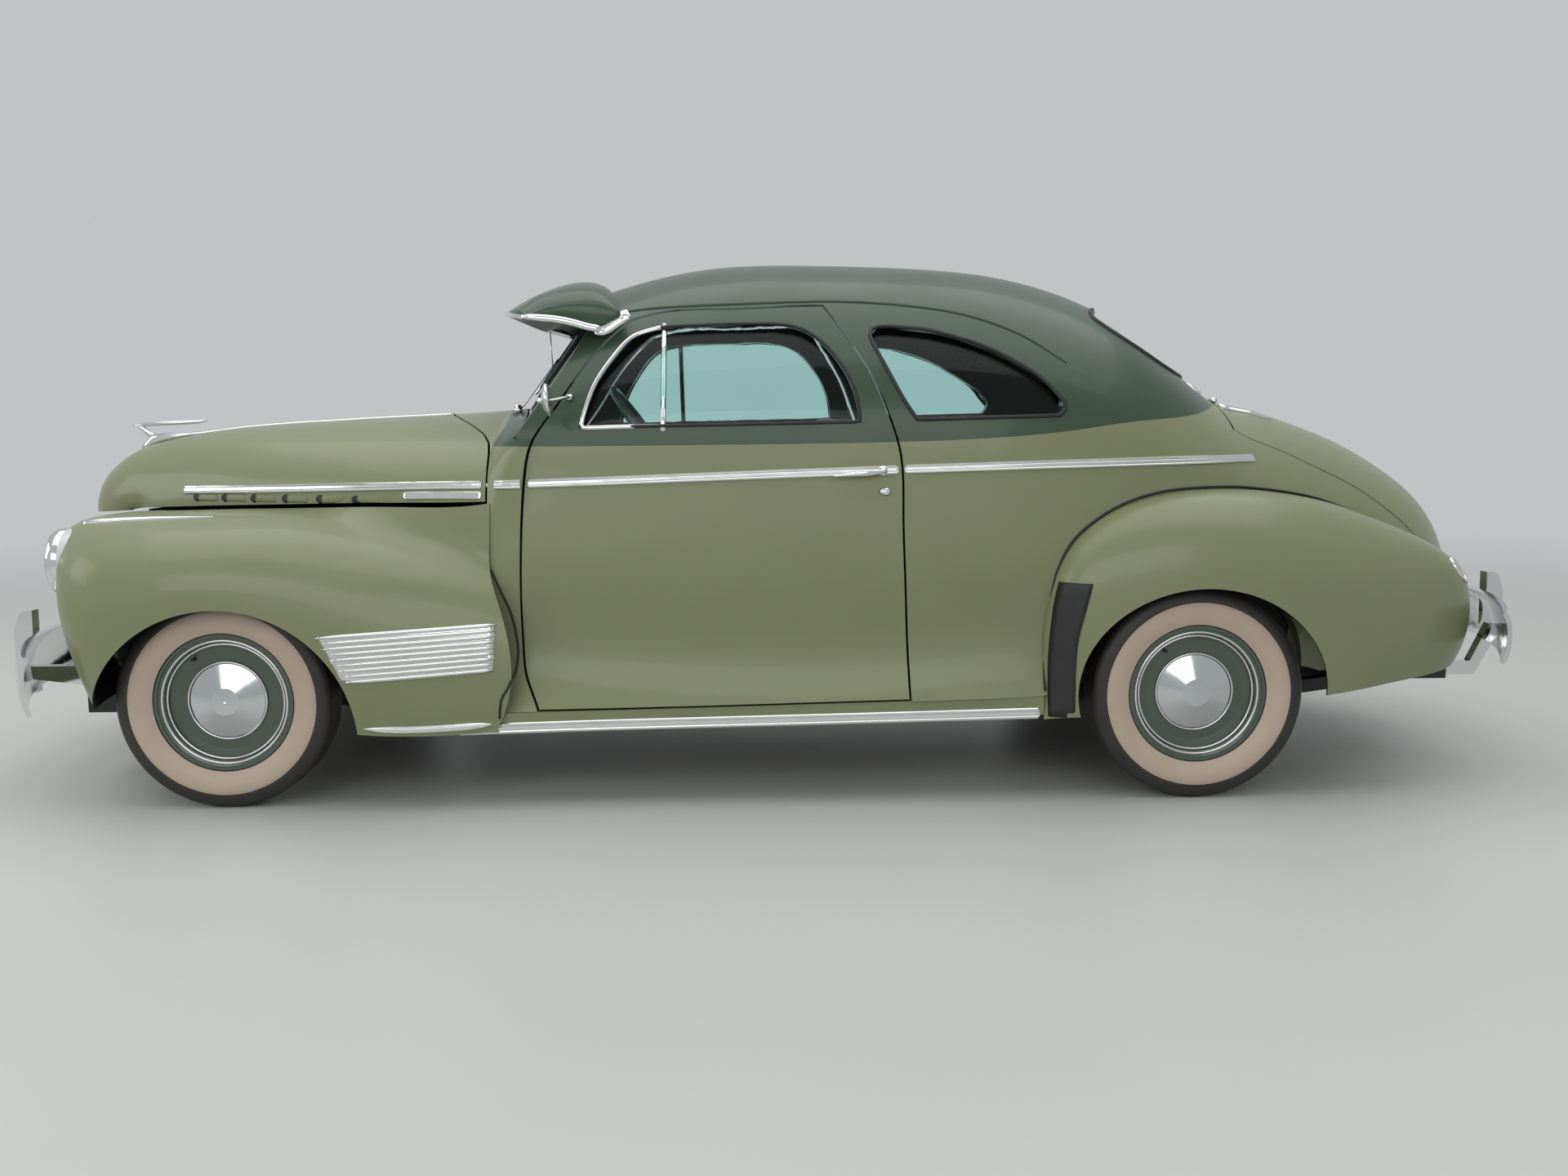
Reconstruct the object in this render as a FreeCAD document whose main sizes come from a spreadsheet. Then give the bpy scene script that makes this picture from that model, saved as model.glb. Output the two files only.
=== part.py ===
import FreeCAD, Part
import Sketcher
import math
import os
from FreeCAD import Placement, Rotation, Vector

# A pre-war style two-door coupe car. The nose points to -X, the driver's side to -Y and up is +Z.
# The origin is on the floor under the middle of the whole car.

# Driving dimensions in millimetres
DRIVING = [
    ("overall_length", 4972, "front bumper guard to rear bumper guard"),
    ("front_overhang", 838, "front axle to the front of the bumper"),
    ("wheelbase", 2946, "front axle to rear axle"),
    ("overall_height", 1680, "floor to the crown of the roof"),
    ("body_half_width", 925, "middle of the car to the outside of a rear fender"),
    ("body_wall", 60, "body side and door, skin to trim panel"),
    ("roof_wall", 28, "roof skin to headlining"),
    ("panel_wall", 9, "fender and hood panel with its turned flange"),
    ("shut_gap", 7, "gap round a door, the hood and the deck lid"),
    ("seat_clearance", 0.3, "gap between pieces that rest on each other"),
    ("glass_thickness", 6, "every pane"),
    ("glass_inset", 16, "body skin to the face of a side pane"),
    ("front_track", 1492, "between the middles of the front tyres"),
    ("rear_track", 1554, "between the middles of the rear tyres"),
    ("tyre_radius", 324, "axle to floor"),
    ("tyre_width", 160, "across the side walls"),
    ("rim_radius", 208, "outside of the rim flange"),
    ("rim_half_width", 62, "middle plane to rim flange"),
    ("drum_radius", 140, "brake drum"),
    ("drum_inset", 62, "middle plane of the wheel to the open side of the drum"),
    ("spindle_radius", 17, "axle stub inside a hub"),
    ("spindle_reach", 10, "end of the stub inboard of the wheel's middle plane"),
    ("running_gap", 6, "between turning and standing pieces"),
    ("kingpin_half_track", 620, "steering axis from the middle of the car"),
    ("kingpin_radius", 20, "steering pin"),
    ("kingpin_half_length", 88, "steering pin above and below the stub"),
    ("kingpin_arm_width", 30, "steering arm across"),
    ("steering_arm_length", 150, "steering arm behind the steering axis"),
    ("backing_wall", 4, "brake backing plate"),
    ("rail_half_track", 425, "middle of a frame rail from the middle of the car"),
    ("rail_width", 64, "frame rail across"),
    ("rail_depth", 105, "frame rail, top to bottom"),
    ("rail_top", 392, "top of the frame rails under the cabin"),
    ("crossmember_depth", 60, "cross members, top to bottom"),
    ("floor_wall", 8, "floor pan"),
    ("boot_floor", 640, "boot floor above the ground"),
    ("engine_length", 560, "cylinder block and clutch housing"),
    ("engine_width", 330, "cylinder block across the manifolds"),
    ("engine_height", 520, "sump to rocker cover"),
    ("gearbox_length", 420, "gearbox behind the clutch"),
    ("gearbox_width", 220, "gearbox across"),
    ("axle_tube_radius", 38, "rear axle tube"),
    ("differential_radius", 125, "rear axle housing"),
    ("torque_tube_radius", 33, "tube round the propeller shaft"),
    ("spring_half_track", 545, "rear leaf spring from the middle of the car"),
    ("spring_width", 45, "leaf spring across"),
    ("spring_depth", 42, "leaf pack"),
    ("arm_wall", 26, "front suspension arms"),
    ("coil_radius", 52, "front coil spring"),
    ("exhaust_radius", 24, "exhaust pipe"),
    ("muffler_radius", 72, "muffler"),
    ("muffler_length", 600, "muffler"),
    ("exhaust_half_track", 250, "exhaust from the middle of the car"),
    ("tank_length", 420, "fuel tank"),
    ("tank_width", 700, "fuel tank across"),
    ("tank_height", 190, "fuel tank"),
    ("lamp_radius", 102, "headlamp rim"),
    ("lamp_depth", 95, "headlamp shell behind its rim"),
    ("lamp_half_track", 655, "headlamp from the middle of the car"),
    ("lamp_height", 740, "headlamp above the floor"),
    ("lamp_dome", 26, "headlamp lens"),
    ("tail_lamp_radius", 34, "tail lamp"),
    ("tail_lamp_length", 120, "tail lamp"),
    ("grille_bar_height", 15, "bright grille bar"),
    ("grille_bar_depth", 26, "grille bar front to back"),
    ("bumper_wall", 14, "bumper blade with its rolled edges"),
    ("bumper_half_width", 880, "middle of the car to a bumper end"),
    ("guard_width", 46, "bumper guard across"),
    ("bracket_width", 38, "bumper bracket"),
    ("steering_wheel_radius", 210, "middle of the rim"),
    ("steering_rim_radius", 12, "steering wheel rim"),
    ("steering_spoke_radius", 6, "steering wheel spokes"),
    ("steering_hub_radius", 34, "steering wheel hub"),
    ("column_radius", 24, "steering column jacket"),
    ("steering_wheel_offset", 380, "steering wheel from the middle of the car"),
    ("seat_width", 1180, "front bench across"),
    ("seat_depth", 520, "front bench cushion, front to back"),
    ("seat_height", 190, "front bench cushion, top to bottom"),
    ("seat_back_wall", 130, "front bench back, front to back"),
    ("seat_round", 45, "rounding of the seats"),
    ("rear_seat_width", 1100, "rear bench across"),
    ("rear_seat_depth", 430, "rear bench cushion, front to back"),
    ("rear_seat_height", 170, "rear bench cushion, top to bottom"),
    ("rear_back_wall", 110, "rear bench back, front to back"),
    ("dash_depth", 110, "dashboard, front to back"),
    ("dash_height", 170, "dashboard, top to bottom"),
    ("visor_wall", 10, "sun visor sheet"),
    ("ornament_width", 24, "hood ornament across"),
    ("overrun", 20, "how far a cutter runs past what it cuts"),
]

doc = FreeCAD.newDocument("coupe_car")
sheet = doc.addObject("Spreadsheet::Sheet", "sizes")
for row, (alias, value, note) in enumerate(DRIVING, start=1):
    sheet.set(f"A{row}", note)
    sheet.set(f"B{row}", str(value))
    sheet.setAlias(f"B{row}", alias)
doc.recompute()


class Sizes:
    """The cells of the sheet as plain numbers."""


size = Sizes()
for alias, value, note in DRIVING:
    setattr(size, alias, float(sheet.get(alias)))

FRONT_AXLE = size.front_overhang - size.overall_length / 2
REAR_AXLE = FRONT_AXLE + size.wheelbase


def along(share):
    """X of a station, as a share of the wheelbase behind the front axle."""
    return FRONT_AXLE + share * size.wheelbase


def out(share):
    """Y of a place, as a share of the body's half width."""
    return share * size.body_half_width


def up(share):
    """Z of a place, as a share of the overall height."""
    return share * size.overall_height


def place(x_share, y_share, z_share):
    return Vector(along(x_share), out(y_share), up(z_share))


# Shape makers

def line(a, b):
    return Part.LineSegment(a, b).toShape()


def solid_of(shape):
    """The one solid of a boolean's result, turned the right way out."""
    solids = shape.Solids
    result = solids[0] if len(solids) == 1 else Part.makeCompound(solids)
    return result


def right_way_out(solid):
    if solid.Volume < 0:
        solid = solid.reversed()
    return solid


def prism(points, depth):
    """Straight-sided block over a flat outline."""
    wire = Part.makePolygon(list(points) + [points[0]])
    return right_way_out(Part.Face(wire).extrude(depth))


def mirrored(shape):
    return shape.mirror(Vector(), Vector(0, 1, 0))


def both(shape):
    return Part.makeCompound([shape, mirrored(shape)])


# Finished pieces, in the order in which they are made
PIECES = []


def piece(label, shape):
    """Keep a shape as a document object whose Label names its file."""
    feature = doc.addObject("Part::Feature", label)
    feature.Label = label
    feature.Shape = shape
    PIECES.append(feature)
    return feature


def keep(feature, label):
    feature.Label = label
    PIECES.append(feature)
    return feature


def formula(text):
    """The same sum written for setExpression."""
    return " ".join(f"sizes.{word}" if word[0].isalpha() else word for word in text.split())


def block(name, corner, extent):
    """Part::Box with its corner and extent bound to the sheet."""
    box = doc.addObject("Part::Box", name)
    for axis, text in zip("xyz", corner):
        box.setExpression(f"Placement.Base.{axis}", formula(text))
    for prop, text in zip(("Length", "Width", "Height"), extent):
        box.setExpression(prop, formula(text))
    return box


def drum(name, centre, radius, height, turn=Rotation()):
    """Part::Cylinder with its base centre, radius and height bound to the sheet."""
    rod = doc.addObject("Part::Cylinder", name)
    rod.Placement = Placement(Vector(), turn)
    for axis, text in zip("xyz", centre):
        rod.setExpression(f"Placement.Base.{axis}", formula(text))
    rod.setExpression("Radius", formula(radius))
    rod.setExpression("Height", formula(height))
    return rod


def group(name, parts, kind="Part::MultiFuse"):
    """One document object from several, fused or kept as separate solids."""
    made = doc.addObject(kind, name)
    if kind == "Part::MultiFuse":
        made.Shapes = parts
        made.Refine = True
    else:
        made.Links = parts
    return made


ALONG_Y = Rotation(Vector(1, 0, 0), -90)
FRONT_X = "front_overhang - 0.5 * overall_length"
REAR_X = "front_overhang - 0.5 * overall_length + wheelbase"

# Places of single parts, as shares of the wheelbase, of the half width and of the height
CUT_START_SHARE = 0.3
SCREEN_TOP_SHARE = 1.131
SCREEN_FOOT_SHARE = 0.6583
DECK_FRONT_SHARE = 1.0659
WHEEL_HOUSE_SHARE = 0.2381
WHEEL_HOUSE_WIDTH_SHARE = 0.5405
WHEEL_HOUSE_INNER_SHARE = 0.6486
WHEEL_HOUSE_OUTER_SHARE = 1.1892
DIVIDER_FOOT_SHARE = 0.7113
PANE_TOP_SHARE = 0.9762
PANE_FOOT_SHARE = 0.6667
BACK_WINDOW_FRONT_SHARE = 0.8826
TAIL_FRONT_SHARE = 1.1881
TAIL_HALF_SHARE = 0.4541
TAIL_REAR_SHARE = 1.4257
TAIL_TOP_SHARE = 0.3571
ARCH_INNER_SHARE = 0.6703
REAR_MEMBER_SHARE = 1.1609
REAR_RAIL_FOOT_SHARE = 0.1726
FLOOR_HALF_SHARE = 0.7438
RISER_SHARE = 0.8622
FIREWALL_SHARE = 0.2817
BOOT_REAR_SHARE = 1.3442
TUB_OUTER_SHARE = 0.8
TUB_TOP_SHARE = 0.5357
SHELF_FRONT_SHARE = 0.8826
SHELF_SHARE = 0.622
SHELF_REAR_SHARE = 1.0387
FIREWALL_TOP_SHARE = 0.8333
SILL_OUTER_SHARE = 0.9189
UPSTAND_FRONT_SHARE = 0.3021
UPSTAND_FRONT_FOOT_SHARE = 0.1488
UPSTAND_REAR_SHARE = 0.8384
UPSTAND_REAR_FOOT_SHARE = 0.1607
UPSTAND_INNER_SHARE = 0.6811
EXHAUST_FRONT_SHARE = 0.112
EXHAUST_REAR_SHARE = 1.3544
MUFFLER_SHARE = 0.5346
TORQUE_TUBE_SHARE = 0.3802
RADIATOR_FRONT_SHARE = -0.1595
RADIATOR_REAR_SHARE = -0.1331
RADIATOR_TOP_SHARE = 0.494
GRILLE_POST_SHARE = 0.3243
APRON_HALF_SHARE = 0.5146
APRON_SWEEP_SHARE = 0.0238
LIP_TIP_SHARE = -0.2223
LIP_END_SHARE = -0.1986
LIP_HALF_SHARE = 0.2486
LIP_SHARE = 0.4917
GUARD_SHARE = 0.3568
DASH_FRONT_SHARE = 0.2987
DASH_FOOT_SHARE = 0.5655
STEERING_SHARES = (0.4321, 0.6452)

# The body's lines, as shares of the wheelbase (along), the half width (across) and the height (up)

# Each cut through the cabin and tail: base (x, z), top (x, z), share of the rise at the widest
# place, then the half widths at the belt, the lower door and the sill
BODY_SHARES = [
    (0.2987, 0.1738, 0.2987, 0.8929, 0.602, 0.7622, 0.8108, 0.9135),
    (0.3904, 0.1768, 0.3904, 0.9524, 0.556, 0.8086, 0.8486, 0.9243),
    (0.4922, 0.1798, 0.4922, 0.9929, 0.528, 0.8346, 0.8681, 0.9297),
    (0.611, 0.1839, 0.611, 1.0, 0.523, 0.8432, 0.8757, 0.9297),
    (0.7298, 0.1881, 0.7298, 0.9929, 0.528, 0.8389, 0.8724, 0.9297),
    (0.8316, 0.1917, 0.8316, 0.9726, 0.541, 0.8249, 0.8595, 0.9189),
    (0.8995, 0.1952, 0.8995, 0.9387, 0.550, 0.8054, 0.8432, 0.8865),
    (0.9504, 0.1994, 0.9504, 0.8958, 0.558, 0.7859, 0.8249, 0.8541),
    (0.998, 0.2036, 0.998, 0.8321, 0.575, 0.7654, 0.8054, 0.827),
    (1.0421, 0.2083, 1.0421, 0.7637, 0.591, 0.7459, 0.7838, 0.8),
    (1.0794, 0.2143, 1.0794, 0.722, 0.574, 0.7265, 0.7568, 0.7676),
    (1.1202, 0.2214, 1.1202, 0.7083, 0.511, 0.7005, 0.7265, 0.7351),
    (1.1253, 0.2214, 1.1711, 0.6804, 0.470, 0.6865, 0.7081, 0.7135),
    (1.1297, 0.2202, 1.222, 0.6458, 0.430, 0.6757, 0.6919, 0.6973),
    (1.1341, 0.219, 1.2695, 0.6012, 0.380, 0.6649, 0.6789, 0.6843),
    (1.1385, 0.2173, 1.3103, 0.5506, 0.330, 0.6573, 0.6681, 0.6724),
    (1.1429, 0.2155, 1.3374, 0.4988, 0.280, 0.6508, 0.6573, 0.6616),
    (1.1473, 0.2131, 1.3551, 0.4345, 0.240, 0.6465, 0.6508, 0.653),
    (1.1517, 0.2107, 1.3625, 0.3631, 0.210, 0.6422, 0.6465, 0.6486),
    (1.1561, 0.2083, 1.3595, 0.2917, 0.190, 0.6378, 0.6422, 0.6443),
    (1.1609, 0.2054, 1.3527, 0.2381, 0.180, 0.6335, 0.6378, 0.64),
]

# The same for the cowl between the hood and the windshield
COWL_SHARES = [
    (0.2675, 0.1708, 0.2675, 0.7119, 0.6931, 0.7535, 0.7978, 0.8886),
    (0.2987, 0.1738, 0.2987, 0.7185, 0.856, 0.7622, 0.8108, 0.9135),
    (0.3428, 0.175, 0.3428, 0.7274, 0.856, 0.787, 0.8314, 0.9189),
]

# The hood: base (x, z), top (x, z) and half width at the base, from the cowl to the lip
HOOD_SHARES = [
    (0.2675, 0.5458, 0.2675, 0.7119, 0.7535),
    (0.2172, 0.5429, 0.2172, 0.706, 0.6962),
    (0.1358, 0.5411, 0.1358, 0.6994, 0.6249),
    (0.0482, 0.5369, 0.0482, 0.6917, 0.5362),
    (-0.0204, 0.5333, -0.0204, 0.6845, 0.4627),
    (-0.0849, 0.5292, -0.0849, 0.6732, 0.3805),
    (-0.1358, 0.525, -0.1358, 0.6565, 0.3135),
    (-0.1443, 0.5238, -0.1741, 0.6369, 0.2919),
    (-0.1494, 0.5226, -0.2003, 0.606, 0.2789),
    (-0.1544, 0.5214, -0.2152, 0.5762, 0.2681),
    (-0.1589, 0.5196, -0.223, 0.5429, 0.2595),
    (-0.1629, 0.5179, -0.2251, 0.5107, 0.253),
]
SIDE_RISE_SHARES = (0.0, 0.12, 0.26, 0.48, 0.74, 1.0)
CROWN_ANGLES = (14, 28, 42, 56, 69, 80, 90)
CROWN_POWER = 2.3
COWL_TURN_IN = 2


def crown(half_width, from_share, angles, power):
    """Places on a rounded crown as (y, share of the rise), from its widest place to the top."""
    places = []
    for angle in angles:
        turn = math.radians(angle)
        y = half_width * max(math.cos(turn), 0) ** (2 / power)
        places.append((0.0 if angle == 90 else y, from_share + (1 - from_share) * math.sin(turn)))
    return places


def body_places(belt_share, belt, low, sill):
    """Places on one half of a cut through the body, as (y, share of the rise)."""
    widths = (sill, low + 0.35 * (sill - low), low, low, belt + 0.6 * (low - belt), belt)
    side = [(w, r * belt_share) for w, r in zip(widths, SIDE_RISE_SHARES)]
    return side + crown(belt, belt_share, CROWN_ANGLES, CROWN_POWER)


def row_of(base, top, places):
    """A whole cut through the body, from the left sill over the crown to the right sill."""
    right = [base + (top - base) * rise + Vector(0, y, 0) for y, rise in places]
    left = [Vector(p.x, -p.y, p.z) for p in right[:-1]]
    return left + right[::-1]


def body_rows(shares):
    rows = []
    for base_x, base_z, top_x, top_z, belt_share, belt, low, sill in shares:
        base, top = place(base_x, 0, base_z), place(top_x, 0, top_z)
        rows.append(row_of(base, top, body_places(belt_share, out(belt), out(low), out(sill))))
    return rows


def body_walls(extra=0.0, turn_in=7):
    """Wall at each place of a body row: the door's thickness low down, the roof's over the crown.

    The wall starts to thin at the place with the number turn_in.
    """
    half = []
    for k in range(len(SIDE_RISE_SHARES) + len(CROWN_ANGLES)):
        blend_share = min(max((k - turn_in) / 3, 0.0), 1.0)
        half.append(size.body_wall + (size.roof_wall - size.body_wall) * blend_share + extra)
    return half + half[-2::-1]


def inner_rows(rows, walls, facing=1, flat_ends=True):
    """Rows that lie one wall inside the given rows. A flat end row stays in its own plane."""
    count, width = len(rows), len(rows[0])
    inside = []
    for i, row in enumerate(rows):
        before, after = rows[max(i - 1, 0)], rows[min(i + 1, count - 1)]
        level = (row[width // 2] - row[0]).cross(row[-1] - row[0])
        level.normalize()
        inner = []
        for j, point in enumerate(row):
            across = row[min(j + 1, width - 1)] - row[max(j - 1, 0)]
            normal = across.cross(after[j] - before[j])
            if flat_ends and i in (0, count - 1):
                normal = normal - level * normal.dot(level)
            normal.normalize()
            inner.append(point - normal * (facing * walls[j]))
        inside.append(inner)
    return inside


BODY_ROWS = body_rows(BODY_SHARES)
COWL_ROWS = body_rows(COWL_SHARES)
HOOD_ROWS = [
    row_of(place(bx, 0, bz), place(tx, 0, tz), crown(out(w), 0.0, (0,) + CROWN_ANGLES, CROWN_POWER))
    for bx, bz, tx, tz, w in HOOD_SHARES
]

def spacing(rows):
    """Parameters from 0 to 1 for the points of every row, by their mean distances."""
    steps = [0.0]
    for j in range(1, len(rows[0])):
        mean = sum((row[j] - row[j - 1]).Length for row in rows) / len(rows)
        steps.append(steps[-1] + mean)
    return [step / steps[-1] for step in steps]


def through(points, parameters, straight=False):
    """Smooth curve through the points, or straight runs between them."""
    curve = Part.BSplineCurve()
    if straight:
        inner = [1] * (len(points) - 2)
        curve.buildFromPolesMultsKnots(list(points), [2] + inner + [2], parameters, False, 1)
    else:
        curve.interpolate(Points=list(points), Parameters=parameters)
    return curve


def surface(rows, straight=False):
    """Face through every point of the rows, smooth or faceted."""
    across, onward = spacing(rows), spacing(list(zip(*rows)))
    curves = [through(row, across, straight) for row in rows]
    columns = [
        through(poles, onward, straight)
        for poles in zip(*[curve.getPoles() for curve in curves])
    ]
    skin = Part.BSplineSurface()
    skin.buildFromPolesMultsKnots(
        [list(column.getPoles()) for column in columns],
        curves[0].getMultiplicities(), columns[0].getMultiplicities(),
        curves[0].getKnots(), columns[0].getKnots(),
        False, False, curves[0].Degree, columns[0].Degree,
    )
    return skin.toShape()


def boundary(rows, straight=False):
    """The four edges round such a face: first row, last row, left ends, right ends."""
    across, onward = spacing(rows), spacing(list(zip(*rows)))
    sides = [rows[0], rows[-1], [row[0] for row in rows], [row[-1] for row in rows]]
    steps = [across, across, onward, onward]
    return [through(side, step, straight).toShape() for side, step in zip(sides, steps)]


def closed(faces):
    """Solid from faces that meet edge to edge."""
    joined = Part.makeCompound(faces)
    joined.sewShape()
    solid = Part.Solid(joined.Shells[0])
    if solid.Volume < 0:
        solid.reverse()
    return solid


def band(outer_rows, inside_rows, straight=False):
    """Thin solid between a smooth outer skin and an inner one."""
    sides = [
        Part.makeRuledSurface(a, b)
        for a, b in zip(boundary(outer_rows), boundary(inside_rows, straight))
    ]
    return closed([surface(outer_rows), surface(inside_rows, straight)] + sides)


def full(rows):
    """Solid under a face whose first and last rows are flat and whose row ends are joined straight."""
    first, last, left, right = boundary(rows)
    caps = [
        Part.Face(Part.Wire([edge, line(row[-1], row[0])]))
        for edge, row in ((first, rows[0]), (last, rows[-1]))
    ]
    return closed([surface(rows), Part.makeRuledSurface(left, right)] + caps)


# Panels: the body shell, cut where the real panels meet

WHOLE = 2 * size.overall_length
WIDE = size.body_half_width + size.overrun


def span_block(low, high):
    """Axis-aligned block between two corners."""
    extent = high - low
    return Part.makeBox(extent.x, extent.y, extent.z, low)


def side_prism(points, inner_y, outer_y):
    """Block over a side-view outline of (x, z) points, between two widths."""
    return prism([Vector(x, inner_y, z) for x, z in points], Vector(0, outer_y - inner_y, 0))


def side_points(shares):
    return [(along(x), up(z)) for x, z in shares]


def grown(runs, amount):
    """Closed side-view outline of smooth runs of (x, z), moved outward by an amount."""
    loop = [point for run in runs for point in run[:-1]]
    count = len(loop)
    turn = sum(
        loop[k - 1][0] * loop[k][1] - loop[k][0] * loop[k - 1][1] for k in range(count)
    )
    side = amount if turn > 0 else -amount
    moved = []
    for k, (x, z) in enumerate(loop):
        normals = []
        for (x0, z0), (x1, z1) in ((loop[k - 1], loop[k]), (loop[k], loop[(k + 1) % count])):
            reach = math.hypot(x1 - x0, z1 - z0)
            normals.append(((z1 - z0) / reach, (x0 - x1) / reach))
        (ax, az), (bx, bz) = normals
        mitre = side / (1 + ax * bx + az * bz)
        moved.append((x + (ax + bx) * mitre, z + (az + bz) * mitre))
    result, start = [], 0
    for run in runs:
        stop = start + len(run) - 1
        result.append([moved[k % count] for k in range(start, stop + 1)])
        start = stop
    return result


def outline_wire(runs, y, like=None):
    """Closed wire of smooth runs of (x, z) at one y, paced by its own points or by those of like runs."""
    edges = []
    for run, pace in zip(runs, like or runs):
        points = [Vector(x, y, z) for x, z in run]
        times = spacing([[Vector(x, y, z) for x, z in pace]])
        edges.append(through(points, times).toShape() if len(points) > 2 else line(*points))
    return Part.Wire(edges)


def wedge(runs, inner_y, outer_y, slanted=True, grow=0.0):
    """Block over a side-view outline whose shut faces slant with y.

    Each point is x, z, the half width of the skin there and how x and z move inside the skin.
    """
    wires = []
    like = [side_points([place[:2] for place in run]) for run in runs]
    for y in (inner_y, outer_y):
        places = []
        for run in runs:
            spots = []
            for x, z, skin_y, sx, sz in run:
                inside = (out(skin_y) - y) * slanted
                spots.append((along(x) + sx * inside, up(z) + sz * inside))
            places.append(spots)
        wires.append(outline_wire(grown(places, grow), y, like))
    return right_way_out(Part.makeLoft(wires, True, True))


def window_prism(runs, inner_y, outer_y, grow=0.0):
    """Straight block over a smooth window outline of (x, z) share runs."""
    wire = outline_wire(grown([side_points(run) for run in runs], grow), inner_y)
    return right_way_out(Part.Face(wire).extrude(Vector(0, outer_y - inner_y, 0)))


# Door outline seen from the side, each point with the skin's half width and its shut face's slant
DOOR_SHARES = [
    [
        (0.3248, 0.1702, 0.9189, 0.0, 0.0), (0.3167, 0.2012, 0.8886, 0.0, 0.0),
        (0.3086, 0.2351, 0.8378, 0.0, 0.0), (0.3052, 0.2798, 0.8195, 0.0, 0.0),
        (0.3038, 0.3452, 0.8184, 0.0, 0.0), (0.3041, 0.4238, 0.8108, 0.0, 0.0),
        (0.3055, 0.5113, 0.7946, 0.0, 0.0), (0.3086, 0.5857, 0.773, 0.0, 0.0),
        (0.3164, 0.65, 0.7676, 0.0, 0.0), (0.3384, 0.7071, 0.773, 0.0, 0.0),
        (0.354, 0.7476, 0.7157, 0.0, -0.05), (0.3778, 0.8065, 0.6573, 0.0, -0.12),
        (0.3985, 0.8458, 0.6119, 0.0, -0.2), (0.4162, 0.8726, 0.573, 0.0, -0.3),
    ],
    [
        (0.4162, 0.8726, 0.573, 0.0, -0.3), (0.442, 0.8857, 0.5643, 0.0, -0.3),
        (0.5261, 0.8929, 0.5881, 0.0, -0.3), (0.5771, 0.8964, 0.5892, -0.2, -0.3),
        (0.6181, 0.8976, 0.5924, -0.4, -0.3),
    ],
    [
        (0.6181, 0.8976, 0.5924, -0.4, -0.3), (0.6317, 0.8631, 0.6541, -0.4, -0.12),
        (0.6453, 0.828, 0.7081, -0.38, -0.02), (0.664, 0.7732, 0.7697, -0.35, 0.0),
        (0.6789, 0.7095, 0.8151, -0.3, 0.0),
        (0.6925, 0.6315, 0.8346, -0.25, 0.0), (0.6952, 0.5238, 0.8519, -0.22, 0.0),
        (0.6965, 0.419, 0.8649, -0.2, 0.0), (0.6993, 0.2708, 0.8735, -0.2, 0.0),
        (0.7013, 0.1702, 0.9297, -0.2, 0.0),
    ],
    [(0.7013, 0.1702, 0.9297, -0.2, 0.0), (0.3248, 0.1702, 0.9189, 0.0, 0.0)],
]
DOOR_WINDOW_SHARES = [
    [
        (0.3666, 0.681), (0.3785, 0.747), (0.3978, 0.8006), (0.4182, 0.8399),
        (0.4457, 0.8565), (0.4854, 0.8607), (0.5261, 0.8625), (0.5771, 0.8607),
        (0.6059, 0.8417), (0.6297, 0.7994), (0.646, 0.7458), (0.6517, 0.6881),
    ],
    [(0.6517, 0.6881), (0.3666, 0.681)],
]
QUARTER_WINDOW_SHARES = [
    [(0.7122, 0.6923), (0.6993, 0.7274), (0.6823, 0.7857), (0.668, 0.8405)],
    [
        (0.668, 0.8405), (0.6755, 0.8554), (0.7026, 0.8536), (0.7339, 0.8464),
        (0.7862, 0.8173), (0.836, 0.7679), (0.8642, 0.7173), (0.8588, 0.6976),
    ],
    [(0.8588, 0.6976), (0.7122, 0.6923)],
]

# Lower edge of the roof panel in side view: inside the door, then along the drip line to the deck
ROOF_EDGE_SHARES = [
    (0.2851, 0.6583), (0.3394, 0.6583), (0.4073, 0.8333), (0.4413, 0.8631), (0.6042, 0.8631),
    (0.6246, 0.9024), (0.6965, 0.8958), (0.7651, 0.8774), (0.8259, 0.8369),
    (0.8781, 0.7768), (0.947, 0.7333), (1.0584, 0.6845), (1.0584, 1.131),
    (0.2851, 1.131),
]

# The windshield's planes: the place of the lower middle, then slopes with height and with width
SCREEN_SHARES = ((0.2756, 0.7196), (0.3414, 0.8726))
SCREEN_LEAN = (along(SCREEN_SHARES[1][0]) - along(SCREEN_SHARES[0][0])) / (
    up(SCREEN_SHARES[1][1]) - up(SCREEN_SHARES[0][1]))
SCREEN_SWEEP = 0.2


def screen_x(y, z, inset=0.0):
    """X of a windshield plane at a half width and a height."""
    lean = SCREEN_LEAN * (z - up(SCREEN_SHARES[0][1]))
    return along(SCREEN_SHARES[0][0]) + lean + SCREEN_SWEEP * y + inset


def screen_slab(front, back, inner_y, outer_y, low, high):
    """Block of one side between two insets from the windshield's plane."""
    wires = []
    for y in (inner_y, outer_y):
        corners = [
            Vector(screen_x(y, low, front), y, low), Vector(screen_x(y, high, front), y, high),
            Vector(screen_x(y, high, back), y, high), Vector(screen_x(y, low, back), y, low),
        ]
        wires.append(Part.makePolygon(corners + corners[:1]))
    return right_way_out(Part.makeLoft(wires, True, True))


# Everything under the top of the sills, which the panels above stand clear of
SILL_TOP_SHARES = ((0.8398, 0.1911), (0.7298, 0.1875), (0.4922, 0.1792), (0.2987, 0.1732), (0.2376, 0.1679))
BEHIND_SILL_SHARES = ((0.9165, 0.1982), (0.8405, 0.1935))


def under_sill(gap):
    top = [(x, z + gap) for x, z in side_points(BEHIND_SILL_SHARES + SILL_TOP_SHARES)]
    return side_prism(top + [(top[-1][0], 0), (top[0][0], 0)], -WIDE, WIDE)


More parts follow.
